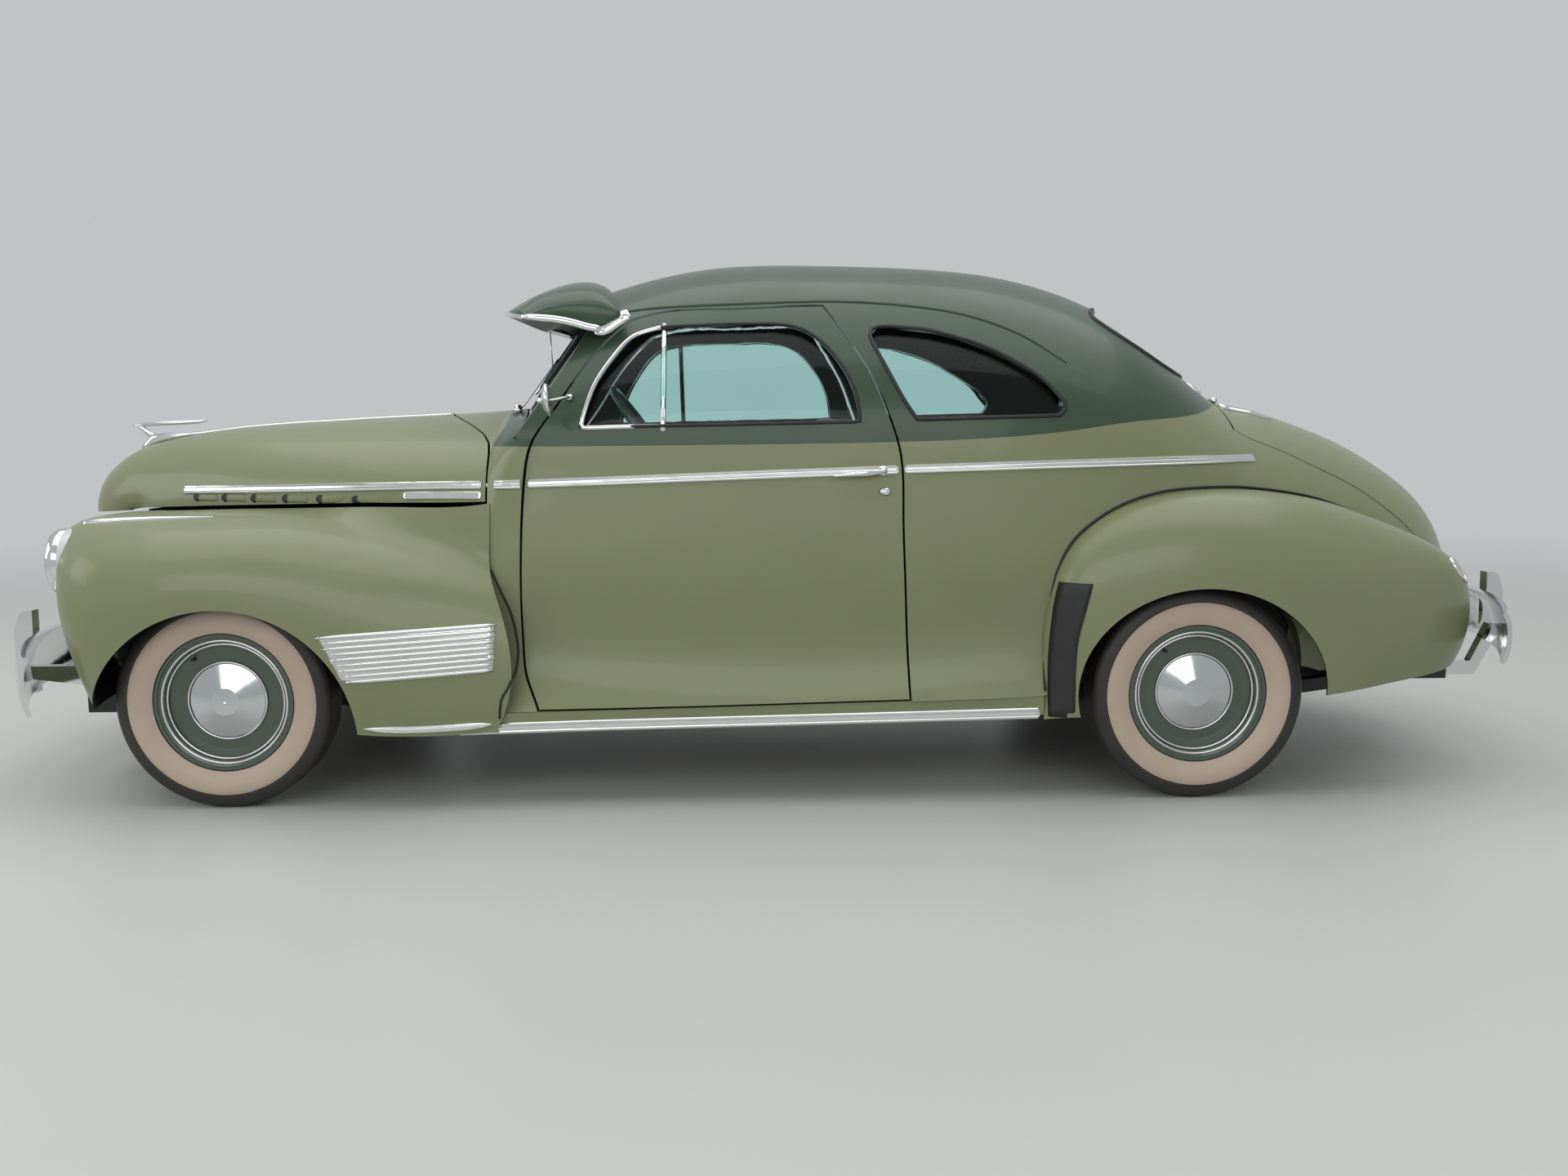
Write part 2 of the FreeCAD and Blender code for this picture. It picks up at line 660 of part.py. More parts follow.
body_inner = inner_rows(BODY_ROWS, body_walls(), -1)
shell = band(BODY_ROWS, body_inner).cut(under_sill(size.seat_clearance))
cowl_shell = band(COWL_ROWS, inner_rows(COWL_ROWS, body_walls(0.0, COWL_TURN_IN), -1))
cowl_shell = cowl_shell.cut(under_sill(size.seat_clearance))
glass_outer = inner_rows(BODY_ROWS, [size.glass_inset] * len(BODY_ROWS[0]), -1)
glass_inner = inner_rows(BODY_ROWS, [size.glass_inset + size.glass_thickness] * len(BODY_ROWS[0]), -1)
glass_shell = band(glass_outer, glass_inner)

right_side = span_block(Vector(-WHOLE, 0, -WHOLE), Vector(WHOLE, WIDE, WHOLE))
half_shell = solid_of(shell.common(right_side))
screen_top = up(SCREEN_TOP_SHARE)
in_front = screen_slab(-WHOLE, 0, 0, WIDE, up(SCREEN_FOOT_SHARE), screen_top)
behind = screen_slab(0, WHOLE, 0, WIDE, up(SCREEN_FOOT_SHARE), screen_top)

door_block = wedge(DOOR_SHARES, out(CUT_START_SHARE), WIDE, True, size.shut_gap / 2)
door_block = door_block.common(wedge(DOOR_SHARES, out(CUT_START_SHARE), WIDE, False))
door_hole = wedge(DOOR_SHARES, out(CUT_START_SHARE), WIDE, False, size.shut_gap)
door_window = window_prism(DOOR_WINDOW_SHARES, out(CUT_START_SHARE), WIDE)
door_pane = window_prism(DOOR_WINDOW_SHARES, out(CUT_START_SHARE), WIDE, -size.seat_clearance)
quarter_window = window_prism(QUARTER_WINDOW_SHARES, out(CUT_START_SHARE), WIDE)
quarter_pane = window_prism(QUARTER_WINDOW_SHARES, out(CUT_START_SHARE), WIDE, -size.seat_clearance)

# Solids that hold everything inside the skins, to trim what stands in the cabin, boot and engine bay
cabin_space = full(inner_rows(BODY_ROWS, body_walls(size.seat_clearance), -1))
cowl_space = full(inner_rows(COWL_ROWS, body_walls(size.seat_clearance, COWL_TURN_IN), -1))
body_hull = full(inner_rows(BODY_ROWS, [-size.seat_clearance] * len(BODY_ROWS[0]), -1))
cowl_hull = full(inner_rows(COWL_ROWS, [-size.seat_clearance] * len(COWL_ROWS[0]), -1))

# Panels of the cabin and tail
roof_edge = side_prism(side_points(ROOF_EDGE_SHARES), -size.overrun, WIDE)
deck_front = along(DECK_FRONT_SHARE)
DECK_HALF_SHARES = ((0.5622, 0.7738), (0.5568, 0.5952), (0.5081, 0.4167), (0.4324, 0.2976), (0.3568, 0.2786))


def deck_block(shrink):
    """Block that takes the deck lid out of the shell, each face moved in by an amount."""
    lowest = up(DECK_HALF_SHARES[-1][1]) + shrink
    corners = [(out(y) - shrink, max(up(z), lowest)) for y, z in DECK_HALF_SHARES]
    half = [Vector(deck_front + shrink, y, z) for y, z in corners]
    other = [Vector(p.x, -p.y, p.z) for p in half[::-1]]
    return prism(half + other, Vector(size.wheelbase / 2, 0, 0))


tub_start = Vector(REAR_AXLE, out(WHEEL_HOUSE_INNER_SHARE), size.tyre_radius)
wheel_space = Part.makeCylinder(
    up(WHEEL_HOUSE_SHARE), out(WHEEL_HOUSE_WIDTH_SHARE), tub_start, Vector(0, 1, 0)
).fuse(span_block(
    Vector(REAR_AXLE - up(WHEEL_HOUSE_SHARE), out(WHEEL_HOUSE_INNER_SHARE), -size.overrun),
    Vector(REAR_AXLE + up(WHEEL_HOUSE_SHARE), out(WHEEL_HOUSE_OUTER_SHARE), size.tyre_radius),
))

door = solid_of(half_shell.common(door_block).cut([door_window, under_sill(size.shut_gap)]))
door_glass = solid_of(glass_shell.common(door_pane))
in_deck = deck_block(0)
side_shell = half_shell.cut(door_hole)
roof_half = side_shell.common(roof_edge).cut(in_front)
divider = screen_slab(0, size.roof_wall, 0, size.glass_inset, up(DIVIDER_FOOT_SHARE), up(PANE_TOP_SHARE))
divider = divider.common(cabin_space).cut(cowl_hull)
roof = roof_half.fuse([mirrored(roof_half), divider, mirrored(divider)])
BACK_WINDOW_SHARES = (
    (0.0, 0.9024), (0.1297, 0.9018), (0.2486, 0.8988), (0.3568, 0.8917), (0.4432, 0.875),
    (0.4843, 0.8482), (0.493, 0.8185), (0.4757, 0.7917), (0.4216, 0.7756), (0.3027, 0.7702),
    (0.1514, 0.7685), (0.0, 0.7679),
)


def back_window(grow):
    """Block through the rear slope of the roof, over the outline of the back window."""
    half = [(out(y), up(z)) for y, z in BACK_WINDOW_SHARES]
    loop = half + [(-y, z) for y, z in half[-2:0:-1]]
    run = grown([loop + loop[:1]], grow)[0]
    points = [Vector(along(BACK_WINDOW_FRONT_SHARE), y, z) for y, z in run]
    curve = Part.BSplineCurve()
    curve.interpolate(Points=points[:-1], PeriodicFlag=True)
    return right_way_out(Part.Face(Part.Wire(curve.toShape())).extrude(Vector(size.wheelbase / 4, 0, 0)))


roof = roof.cut(back_window(0))
back_pane = glass_shell.common(back_window(-size.seat_clearance))
quarter = side_shell.cut([roof_edge, in_deck, wheel_space, quarter_window])
tail_block = span_block(
    Vector(along(TAIL_FRONT_SHARE), -out(TAIL_HALF_SHARE), 0),
    Vector(along(TAIL_REAR_SHARE), out(TAIL_HALF_SHARE), up(TAIL_TOP_SHARE)),
)
tail = shell.cut(in_deck).common(tail_block)
quarter = quarter.cut(tail_block)
quarter = max(quarter.Solids, key=lambda part: part.Volume)
quarter_glass = solid_of(glass_shell.common(quarter_pane))
deck_lid = solid_of(shell.common(deck_block(size.shut_gap)))

# The hood ends along a curved seam, and the panel behind the seam belongs to the cowl
HOOD_SEAM_SHARES = (
    (0.1955, 0.0), (0.1959, 0.0649), (0.1969, 0.1286), (0.2003, 0.1784), (0.2077, 0.24),
    (0.2172, 0.3146), (0.2274, 0.3784), (0.2376, 0.4411), (0.2529, 0.5308), (0.2614, 0.5989),
    (0.2644, 0.6562), (0.2654, 0.7211), (0.2654, 0.973), (-0.2716, 0.973),
)


def plan_block(gap):
    """Upright block in front of the hood's rear seam, moved outward by a gap."""
    half = [(along(x), out(y)) for x, y in HOOD_SEAM_SHARES]
    loop = half + [(x, -y) for x, y in half[:0:-1]]
    spots = grown([loop + loop[:1]], gap)[0][:-1]
    return prism([Vector(x, y, 0) for x, y in spots], Vector(0, 0, size.overall_height))


hood_block, hood_hole = plan_block(0), plan_block(size.shut_gap)
hood_skin = band(HOOD_ROWS, inner_rows(HOOD_ROWS, [size.panel_wall] * len(HOOD_ROWS[0])))
hood = solid_of(hood_skin.common(hood_block))
cowl_top = solid_of(hood_skin.cut(hood_hole))
cowl = cowl_shell.fuse(cowl_top).cut([behind, mirrored(behind), door_hole, mirrored(door_hole)])
cowl = max(cowl.Solids, key=lambda part: part.Volume)

pane = screen_slab(
    size.glass_inset, size.glass_inset + size.glass_thickness,
    size.glass_inset + size.seat_clearance, WIDE, up(PANE_FOOT_SHARE), up(PANE_TOP_SHARE),
).common(cabin_space).cut(cowl_hull)

# Fenders: rows run from the inner edge over the crown to the lower edge, from the nose rearward
FRONT_FENDER_SHARES = [
    [
        (-0.2037, 0.2108, 0.5036), (-0.203, 0.3243, 0.4929), (-0.1976, 0.4324, 0.4732),
        (-0.1918, 0.4919, 0.4375), (-0.1867, 0.5135, 0.3899), (-0.1792, 0.5189, 0.3393),
        (-0.169, 0.5189, 0.2857), (-0.1555, 0.5189, 0.2321), (-0.1419, 0.5189, 0.1893),
    ],
    [
        (-0.1833, 0.2508, 0.5071), (-0.1887, 0.3676, 0.5071), (-0.1874, 0.4973, 0.4988),
        (-0.185, 0.6108, 0.4732), (-0.1819, 0.6486, 0.4274), (-0.1772, 0.6541, 0.369),
        (-0.1697, 0.6541, 0.3095), (-0.1561, 0.6541, 0.244), (-0.1385, 0.6541, 0.1881),
    ],
    [
        (-0.1595, 0.2789, 0.5119), (-0.1623, 0.4541, 0.5167), (-0.1623, 0.6162, 0.5131),
        (-0.1623, 0.7351, 0.4988), (-0.1663, 0.8054, 0.4524), (-0.1677, 0.8303, 0.3929),
        (-0.1629, 0.8378, 0.3274), (-0.15, 0.8378, 0.256), (-0.1317, 0.8324, 0.1875),
    ],
    [
        (-0.1324, 0.3297, 0.5173), (-0.1324, 0.4865, 0.5226), (-0.1317, 0.6486, 0.5179),
        (-0.1317, 0.7784, 0.503), (-0.1365, 0.8865, 0.4613), (-0.1399, 0.9243, 0.4048),
        (-0.1378, 0.9384, 0.3333), (-0.1317, 0.9384, 0.256), (-0.1205, 0.9319, 0.1875),
    ],
    [
        (-0.0883, 0.3903, 0.5214), (-0.0883, 0.5405, 0.525), (-0.0883, 0.6919, 0.519),
        (-0.0883, 0.827, 0.4988), (-0.0896, 0.9297, 0.4554), (-0.091, 0.9708, 0.3988),
        (-0.091, 0.9805, 0.3333), (-0.0889, 0.9784, 0.256), (-0.0849, 0.973, 0.1845),
    ],
    [
        (-0.0204, 0.4735, 0.5262), (-0.0204, 0.6054, 0.5262), (-0.0204, 0.7351, 0.5167),
        (-0.0204, 0.8541, 0.4964), (-0.0204, 0.9459, 0.4554), (-0.0204, 0.9838, 0.3988),
        (-0.0204, 0.9892, 0.3333), (-0.0204, 0.987, 0.256), (-0.0204, 0.9784, 0.1786),
    ],
    [
        (0.0679, 0.5686, 0.5304), (0.0679, 0.6378, 0.5232), (0.0679, 0.7189, 0.5155),
        (0.0679, 0.8054, 0.5018), (0.0679, 0.8865, 0.478), (0.0679, 0.9459, 0.4405),
        (0.0679, 0.9784, 0.3869), (0.0679, 0.9892, 0.2976), (0.0679, 0.973, 0.1607),
    ],
    [
        (0.1527, 0.6508, 0.5339), (0.1527, 0.6832, 0.5095), (0.1527, 0.7265, 0.4881),
        (0.1527, 0.7838, 0.4738), (0.1527, 0.8465, 0.4571), (0.1527, 0.9059, 0.4256),
        (0.1527, 0.9492, 0.375), (0.1527, 0.9751, 0.2857), (0.1527, 0.9654, 0.1411),
    ],
    [
        (0.2206, 0.7178, 0.5345), (0.2206, 0.7308, 0.5012), (0.2206, 0.7503, 0.4702),
        (0.221, 0.7924, 0.4476), (0.2223, 0.8486, 0.4256), (0.2237, 0.8995, 0.3899),
        (0.2247, 0.9341, 0.3333), (0.2247, 0.9557, 0.25), (0.2206, 0.9492, 0.1369),
    ],
    [
        (0.2705, 0.7632, 0.5429), (0.2702, 0.7762, 0.506), (0.2699, 0.787, 0.4673),
        (0.2705, 0.8022, 0.4298), (0.2766, 0.8486, 0.3929), (0.2868, 0.8919, 0.3452),
        (0.2946, 0.9189, 0.2857), (0.2953, 0.9319, 0.2202), (0.2804, 0.9384, 0.1417),
    ],
]
REAR_FENDER_SHARES = [
    [
        (0.8527, 0.8454, 0.4048), (0.8476, 0.8541, 0.3631), (0.8435, 0.8616, 0.3214),
        (0.8415, 0.8692, 0.2798), (0.8405, 0.8778, 0.244), (0.8401, 0.8908, 0.2083),
        (0.8401, 0.9059, 0.1786), (0.8401, 0.9189, 0.15),
    ],
    [
        (0.871, 0.8281, 0.4631), (0.869, 0.8757, 0.4452), (0.8669, 0.9103, 0.4107),
        (0.8659, 0.9297, 0.369), (0.8652, 0.9395, 0.3155), (0.8649, 0.9438, 0.2619),
        (0.8649, 0.9459, 0.2083), (0.8649, 0.947, 0.156),
    ],
    [
        (0.9114, 0.8054, 0.519), (0.9107, 0.8703, 0.5071), (0.91, 0.9189, 0.481),
        (0.9097, 0.9535, 0.4405), (0.9097, 0.9741, 0.381), (0.9097, 0.9816, 0.3095),
        (0.9097, 0.9838, 0.2381), (0.9097, 0.9795, 0.1607),
    ],
    [
        (0.9674, 0.7805, 0.55), (0.9674, 0.8562, 0.5405), (0.9674, 0.9157, 0.5155),
        (0.9674, 0.9632, 0.4744), (0.9674, 0.9903, 0.4107), (0.9674, 0.9989, 0.3333),
        (0.9674, 0.9989, 0.25), (0.9674, 0.9924, 0.1667),
    ],
    [
        (1.0319, 0.7503, 0.5583), (1.0319, 0.8346, 0.55), (1.0319, 0.9038, 0.525),
        (1.0319, 0.9611, 0.481), (1.0319, 0.9914, 0.4167), (1.0319, 1.0, 0.3393),
        (1.0319, 1.0, 0.256), (1.0319, 0.9924, 0.1726),
    ],
    [
        (1.0964, 0.7157, 0.55), (1.0964, 0.8054, 0.5429), (1.0964, 0.8822, 0.5179),
        (1.0964, 0.9438, 0.475), (1.0964, 0.9795, 0.4167), (1.0964, 0.9914, 0.3393),
        (1.0964, 0.9914, 0.2619), (1.0964, 0.9816, 0.1875),
    ],
    [
        (1.1541, 0.6832, 0.5298), (1.1541, 0.7762, 0.5238), (1.1541, 0.8551, 0.5),
        (1.1541, 0.9178, 0.4601), (1.1541, 0.9568, 0.4048), (1.1541, 0.9708, 0.3333),
        (1.1541, 0.9697, 0.2649), (1.1541, 0.9568, 0.1994),
    ],
    [
        (1.2033, 0.6551, 0.5012), (1.205, 0.7514, 0.4952), (1.2071, 0.827, 0.4744),
        (1.2084, 0.8865, 0.4387), (1.2091, 0.92, 0.3869), (1.2091, 0.9319, 0.3274),
        (1.2084, 0.9276, 0.2679), (1.2071, 0.9103, 0.2113),
    ],
    [
        (1.2451, 0.6292, 0.469), (1.2505, 0.7157, 0.4655), (1.2559, 0.787, 0.45),
        (1.2593, 0.8378, 0.4214), (1.261, 0.8659, 0.375), (1.261, 0.8746, 0.3214),
        (1.2593, 0.867, 0.2679), (1.2559, 0.8476, 0.2202),
    ],
    [
        (1.2736, 0.5968, 0.4315), (1.2848, 0.6681, 0.4298), (1.2926, 0.7178, 0.4167),
        (1.298, 0.7514, 0.3929), (1.3011, 0.7697, 0.3571), (1.3014, 0.7741, 0.3155),
        (1.299, 0.7654, 0.2738), (1.2919, 0.7459, 0.231),
    ],
    [
        (1.2831, 0.5405, 0.4107), (1.296, 0.5838, 0.4083), (1.3035, 0.6184, 0.3958),
        (1.3086, 0.64, 0.3738), (1.3113, 0.6508, 0.3464), (1.3116, 0.653, 0.3143),
        (1.3092, 0.6465, 0.2798), (1.3018, 0.6314, 0.2429),
    ],
]


def fender_rows(shares):
    return [[place(*spot) for spot in row] for row in shares]


def fender_skin(rows, facing):
    walls = [size.panel_wall] * len(rows[0])
    return band(rows, inner_rows(rows, walls, facing, False))


ARCH_SHARES = (0.0058, 0.1274, 0.1368)
REAR_ARCH_SHARES = (0.1103, 0.1964, 0.2232)
LAMP_X_SHARE = -0.1765

arch_centre = Vector(along(ARCH_SHARES[0]), out(ARCH_INNER_SHARE), up(ARCH_SHARES[1]))
front_arch = Part.makeCylinder(
    along(ARCH_SHARES[2]) - along(0), WIDE, arch_centre, Vector(0, 1, 0)
)
oval = Part.Ellipse(
    Vector(REAR_AXLE, out(ARCH_INNER_SHARE), up(REAR_ARCH_SHARES[1])),
    up(REAR_ARCH_SHARES[2]), along(REAR_ARCH_SHARES[0]) - along(0),
)
rear_arch = Part.Face(Part.Wire(oval.toShape()))
rear_arch.rotate(oval.Center, Vector(1, 0, 0), 90)
rear_arch = rear_arch.extrude(Vector(0, WIDE - out(ARCH_INNER_SHARE), 0)).fuse(span_block(
    Vector(REAR_AXLE - (along(REAR_ARCH_SHARES[0]) - along(0)), out(ARCH_INNER_SHARE), -size.overrun),
    Vector(REAR_AXLE + (along(REAR_ARCH_SHARES[0]) - along(0)), WIDE, up(REAR_ARCH_SHARES[1])),
))

lamp_centre = Vector(along(LAMP_X_SHARE), size.lamp_half_track, size.lamp_height)
lamp_hole = Part.makeCylinder(
    size.lamp_radius + size.seat_clearance, 3 * size.lamp_depth,
    lamp_centre + Vector(-2 * size.lamp_depth, 0, 0), Vector(1, 0, 0),
)
fender_front = fender_skin(fender_rows(FRONT_FENDER_SHARES), -1)
fender_front = solid_of(fender_front.cut([front_arch, lamp_hole, cowl_hull]))
fender_rear = fender_skin(fender_rows(REAR_FENDER_SHARES), -1)
fender_rear = max(fender_rear.cut([rear_arch, body_hull]).Solids, key=lambda part: part.Volume)

# Inner panels between the front fenders and the frame
rail_inner = size.rail_half_track - size.rail_width / 2
rail_outer = size.rail_half_track + size.rail_width / 2
rail_low = size.rail_top - size.rail_depth
apron_rows = []
for row in FRONT_FENDER_SHARES[3:]:
    x_share, y_share, z_share = row[0]
    top = place(x_share, y_share, z_share) + Vector(0, size.panel_wall, -1.6 * size.panel_wall)
    foot = Vector(top.x, rail_outer - size.panel_wall, size.rail_top + size.seat_clearance)
    apron_rows.append([foot, foot + (top - foot) * 0.5, top])
apron = band(apron_rows, [[spot + Vector(0, -size.panel_wall / 2, 0) for spot in row] for row in apron_rows])
apron = apron.cut([fender_front, cowl_hull])

# Frame: two rails with a kick-up over each axle, and cross members under them
RAIL_SHARES = (
    (0.869, 0.2333), (0.9131, 0.3393), (1.0964, 0.3393), (1.1609, 0.2214), (1.3238, 0.2214),
    (1.3238, 0.1726), (1.1541, 0.1726), (1.0862, 0.2798), (0.9369, 0.2798), (0.8961, 0.1708),
)
RAIL_FRONT_SHARE = -0.1833
rail_outline = [(along(RAIL_FRONT_SHARE), rail_low), (along(RAIL_FRONT_SHARE), size.rail_top)]
rail_outline.append((along(RAIL_SHARES[0][0]), size.rail_top))
rail_outline.extend(side_points(RAIL_SHARES[1:-1]))
rail_outline.append((along(RAIL_SHARES[-1][0]), rail_low))
rail = side_prism(rail_outline, rail_inner, rail_outer)
CROSS_SHARES = (-0.1697, 0.0, 0.3157, 0.5092, 0.7637)
members = [
    span_block(
        Vector(along(x) - size.rail_width, -rail_outer, rail_low - size.crossmember_depth),
        Vector(along(x) + size.rail_width, rail_outer, rail_low),
    )
    for x in CROSS_SHARES
]
rear_member = span_block(
    Vector(along(REAR_MEMBER_SHARE), -rail_outer, up(REAR_RAIL_FOOT_SHARE) - size.crossmember_depth / 2),
    Vector(along(REAR_MEMBER_SHARE) + size.rail_width, rail_outer, up(REAR_RAIL_FOOT_SHARE)),
)
frame = rail.fuse([mirrored(rail), rear_member] + members)

# Engine and gearbox, one plain block each way of the bell housing
engine = group("engine_and_gearbox", [
    block("cylinder_block",
          (f"{FRONT_X} + 0.25 * engine_width", "0 - 0.5 * engine_width",
           "rail_top - rail_depth + seat_clearance"),
          ("engine_length", "engine_width", "engine_height")),
    block("gearbox_block",
          (f"{FRONT_X} + 0.25 * engine_width + engine_length", "0 - 0.5 * gearbox_width",
           "rail_top - rail_depth + seat_clearance"),
          ("gearbox_length", "gearbox_width", "rail_depth - 5 * seat_clearance")),
])

# Floor, boot floor, riser, wheel houses and parcel shelf
floor_low = size.rail_top + size.seat_clearance
floor_high = floor_low + size.floor_wall
floor_half = out(FLOOR_HALF_SHARE)
riser_x = along(RISER_SHARE)
firewall_x = along(FIREWALL_SHARE)
boot_low = size.boot_floor
boot_high = boot_low + size.floor_wall
cabin_slab = span_block(Vector(firewall_x, -floor_half, floor_low), Vector(riser_x, floor_half, floor_high))
riser_slab = span_block(
    Vector(riser_x, -floor_half, floor_low), Vector(riser_x + size.floor_wall, floor_half, boot_high)
)
boot_slab = span_block(
    Vector(riser_x, -WIDE, boot_low), Vector(along(BOOT_REAR_SHARE), WIDE, boot_high)
)
tub_radius = up(WHEEL_HOUSE_SHARE) - size.seat_clearance
tub_side = out(WHEEL_HOUSE_INNER_SHARE)
tub = Part.makeCylinder(
    tub_radius, out(TUB_OUTER_SHARE) - tub_side, tub_start, Vector(0, 1, 0)
)
tub_cut = tub.copy()
tub = tub.cut(Part.makeCylinder(
    tub_radius - size.floor_wall, out(TUB_OUTER_SHARE) - tub_side,
    Vector(REAR_AXLE, tub_side + size.floor_wall, size.tyre_radius), Vector(0, 1, 0),
))
tub_box = span_block(Vector(-WHOLE, 0, floor_low), Vector(WHOLE, WIDE, up(TUB_TOP_SHARE)))
tub = tub.common(tub_box).common(cabin_space)
floor = cabin_slab.common(cabin_space).fuse([
    cabin_slab.common(cowl_space), riser_slab.common(cabin_space), boot_slab.common(cabin_space),
])
floor = floor.cut([tub_cut, mirrored(tub_cut)])
shelf = span_block(
    Vector(along(SHELF_FRONT_SHARE), -WIDE, up(SHELF_SHARE)),
    Vector(along(SHELF_REAR_SHARE), WIDE, up(SHELF_SHARE) + size.floor_wall),
).common(cabin_space)
firewall = span_block(
    Vector(firewall_x, -WIDE, floor_high + size.seat_clearance),
    Vector(firewall_x + size.floor_wall, WIDE, up(FIREWALL_TOP_SHARE)),
).common(cowl_space)
cowl = Part.makeCompound([cowl, firewall])

# Sills under the doors, with the upstand that the floor rests on
SILL_FOOT_SHARES = ((0.2376, 0.1357), (0.8398, 0.1589))
sill = side_prism(side_points(SILL_FOOT_SHARES + SILL_TOP_SHARES), floor_half, out(SILL_OUTER_SHARE))
upstand = side_prism(
    [(along(UPSTAND_FRONT_SHARE), up(UPSTAND_FRONT_FOOT_SHARE)),
     (along(UPSTAND_REAR_SHARE), up(UPSTAND_REAR_FOOT_SHARE)),
     (along(UPSTAND_REAR_SHARE), size.rail_top), (along(UPSTAND_FRONT_SHARE), size.rail_top)],
    out(UPSTAND_INNER_SHARE), floor_half,
)
sill = solid_of(sill.fuse(upstand))

# Rear springs on hangers, the tank and the exhaust
spring_inner = size.spring_half_track - size.spring_width / 2
spring_outer = size.spring_half_track + size.spring_width / 2
SPRING_EYE_SHARES = ((0.8079, 0.1964), (1.1948, 0.1964))
spring_top = size.tyre_radius - size.axle_tube_radius - size.seat_clearance


def spring_curve(drop):
    (x0, z0), (x1, z1) = SPRING_EYE_SHARES
    return [(along(x0), up(z0) - drop), (REAR_AXLE, spring_top - drop), (along(x1), up(z1) - drop)]


upper, lower = spring_curve(0.0), spring_curve(size.spring_depth)
spring = Part.Face(outline_wire(
    [upper, [upper[-1], lower[-1]], lower[::-1], [lower[0], upper[0]]], spring_inner
)).extrude(Vector(0, size.spring_width, 0))
hangers = [
    span_block(
        Vector(along(x) - size.spring_depth / 2, rail_outer + size.seat_clearance, up(z) - size.spring_depth),
        Vector(along(x) + size.spring_depth / 2, spring_outer, up(z) + size.spring_depth / 4),
    )
    for x, z in SPRING_EYE_SHARES
]
spring = solid_of(spring.fuse(hangers))

tank = block(
    "tank_block",
    (f"{FRONT_X} + 1.15 * wheelbase", "0 - 0.5 * tank_width", "boot_floor - seat_clearance - tank_height"),
    ("tank_length", "tank_width", "tank_height"),
)

exhaust_low = rail_low - size.crossmember_depth - size.seat_clearance - size.exhaust_radius


def rod(start, end, radius):
    return Part.makeCylinder(radius, (end - start).Length, start, end - start)


exhaust_y = size.exhaust_half_track
exhaust = rod(
    Vector(along(EXHAUST_FRONT_SHARE), exhaust_y, exhaust_low),
    Vector(along(EXHAUST_REAR_SHARE), exhaust_y, exhaust_low),
    size.exhaust_radius,
).fuse(rod(
    Vector(along(MUFFLER_SHARE), exhaust_y, exhaust_low),
    Vector(along(MUFFLER_SHARE) + size.muffler_length, exhaust_y, exhaust_low), size.muffler_radius,
))

# Front suspension: a wishbone above and below each steering pin, and a coil between them
pin_low = size.tyre_radius - size.kingpin_half_length
pin_high = size.tyre_radius + size.kingpin_half_length
arm_end = size.kingpin_half_track + size.kingpin_radius
arm_half = 1.4 * size.rail_width


def arm(root_y, low, high):
    root, tip = Vector(FRONT_AXLE, root_y, low), Vector(FRONT_AXLE, arm_end, low)
    corners = [
        root + Vector(-arm_half, 0, 0), tip + Vector(-size.kingpin_radius, 0, 0),
        tip + Vector(size.kingpin_radius, 0, 0), root + Vector(arm_half, 0, 0),
    ]
    return prism(corners, Vector(0, 0, high - low))


lower_arm = arm(rail_inner, pin_low - size.seat_clearance - size.arm_wall, pin_low - size.seat_clearance)
upper_arm = arm(rail_inner, pin_high + size.seat_clearance, pin_high + size.seat_clearance + size.arm_wall)
coil = rod(
    Vector(FRONT_AXLE, (rail_outer + arm_end - 2 * size.kingpin_radius) / 2, pin_low - size.seat_clearance),
    Vector(FRONT_AXLE, (rail_outer + arm_end - 2 * size.kingpin_radius) / 2, pin_high + size.seat_clearance),
    size.coil_radius,
)
tower = span_block(
    Vector(FRONT_AXLE - arm_half, rail_inner, size.rail_top + size.seat_clearance),
    Vector(FRONT_AXLE + arm_half, rail_outer, pin_high + size.seat_clearance),
)
suspension = solid_of(lower_arm.fuse([upper_arm, coil, tower]).cut(frame))
apron = max(apron.cut(suspension).Solids, key=lambda part: part.Volume)

# Rear axle
plate_inner = size.rear_track / 2 - size.drum_inset - size.running_gap - size.backing_wall
axle_middle = Vector(REAR_AXLE, 0, size.tyre_radius)
plate_reach = Vector(0, plate_inner, 0)
axle_parts = [
    rod(axle_middle - plate_reach, axle_middle + plate_reach, size.axle_tube_radius),
    Part.makeSphere(size.differential_radius, axle_middle),
    rod(Vector(along(TORQUE_TUBE_SHARE), 0, size.tyre_radius), axle_middle, size.torque_tube_radius),
]
for side in (-1, 1):
    plate = Vector(REAR_AXLE, side * plate_inner, size.tyre_radius)
    stub_end = Vector(REAR_AXLE, side * (size.rear_track / 2 - size.spindle_reach), size.tyre_radius)
    plate_face = plate + Vector(0, side * size.backing_wall, 0)
    axle_parts.append(rod(plate, plate_face, size.drum_radius - size.backing_wall))
    axle_parts.append(rod(plate, stub_end, size.spindle_radius))
rear_axle = axle_parts[0].fuse(axle_parts[1:])

# Radiator, grille and the apron below it
radiator = span_block(
    Vector(along(RADIATOR_FRONT_SHARE), -rail_outer + size.overrun, size.rail_top + size.seat_clearance),
    Vector(along(RADIATOR_REAR_SHARE), rail_outer - size.overrun, up(RADIATOR_TOP_SHARE)),
)
GRILLE_BAR_SHARES = tuple(0.3006 + step * 0.022 for step in range(9))
GRILLE_TIP_SHARE = -0.2172
GRILLE_END_SHARE = -0.1887
GRILLE_HALF_SHARE = 0.5081
GRILLE_LEAN = 0.16


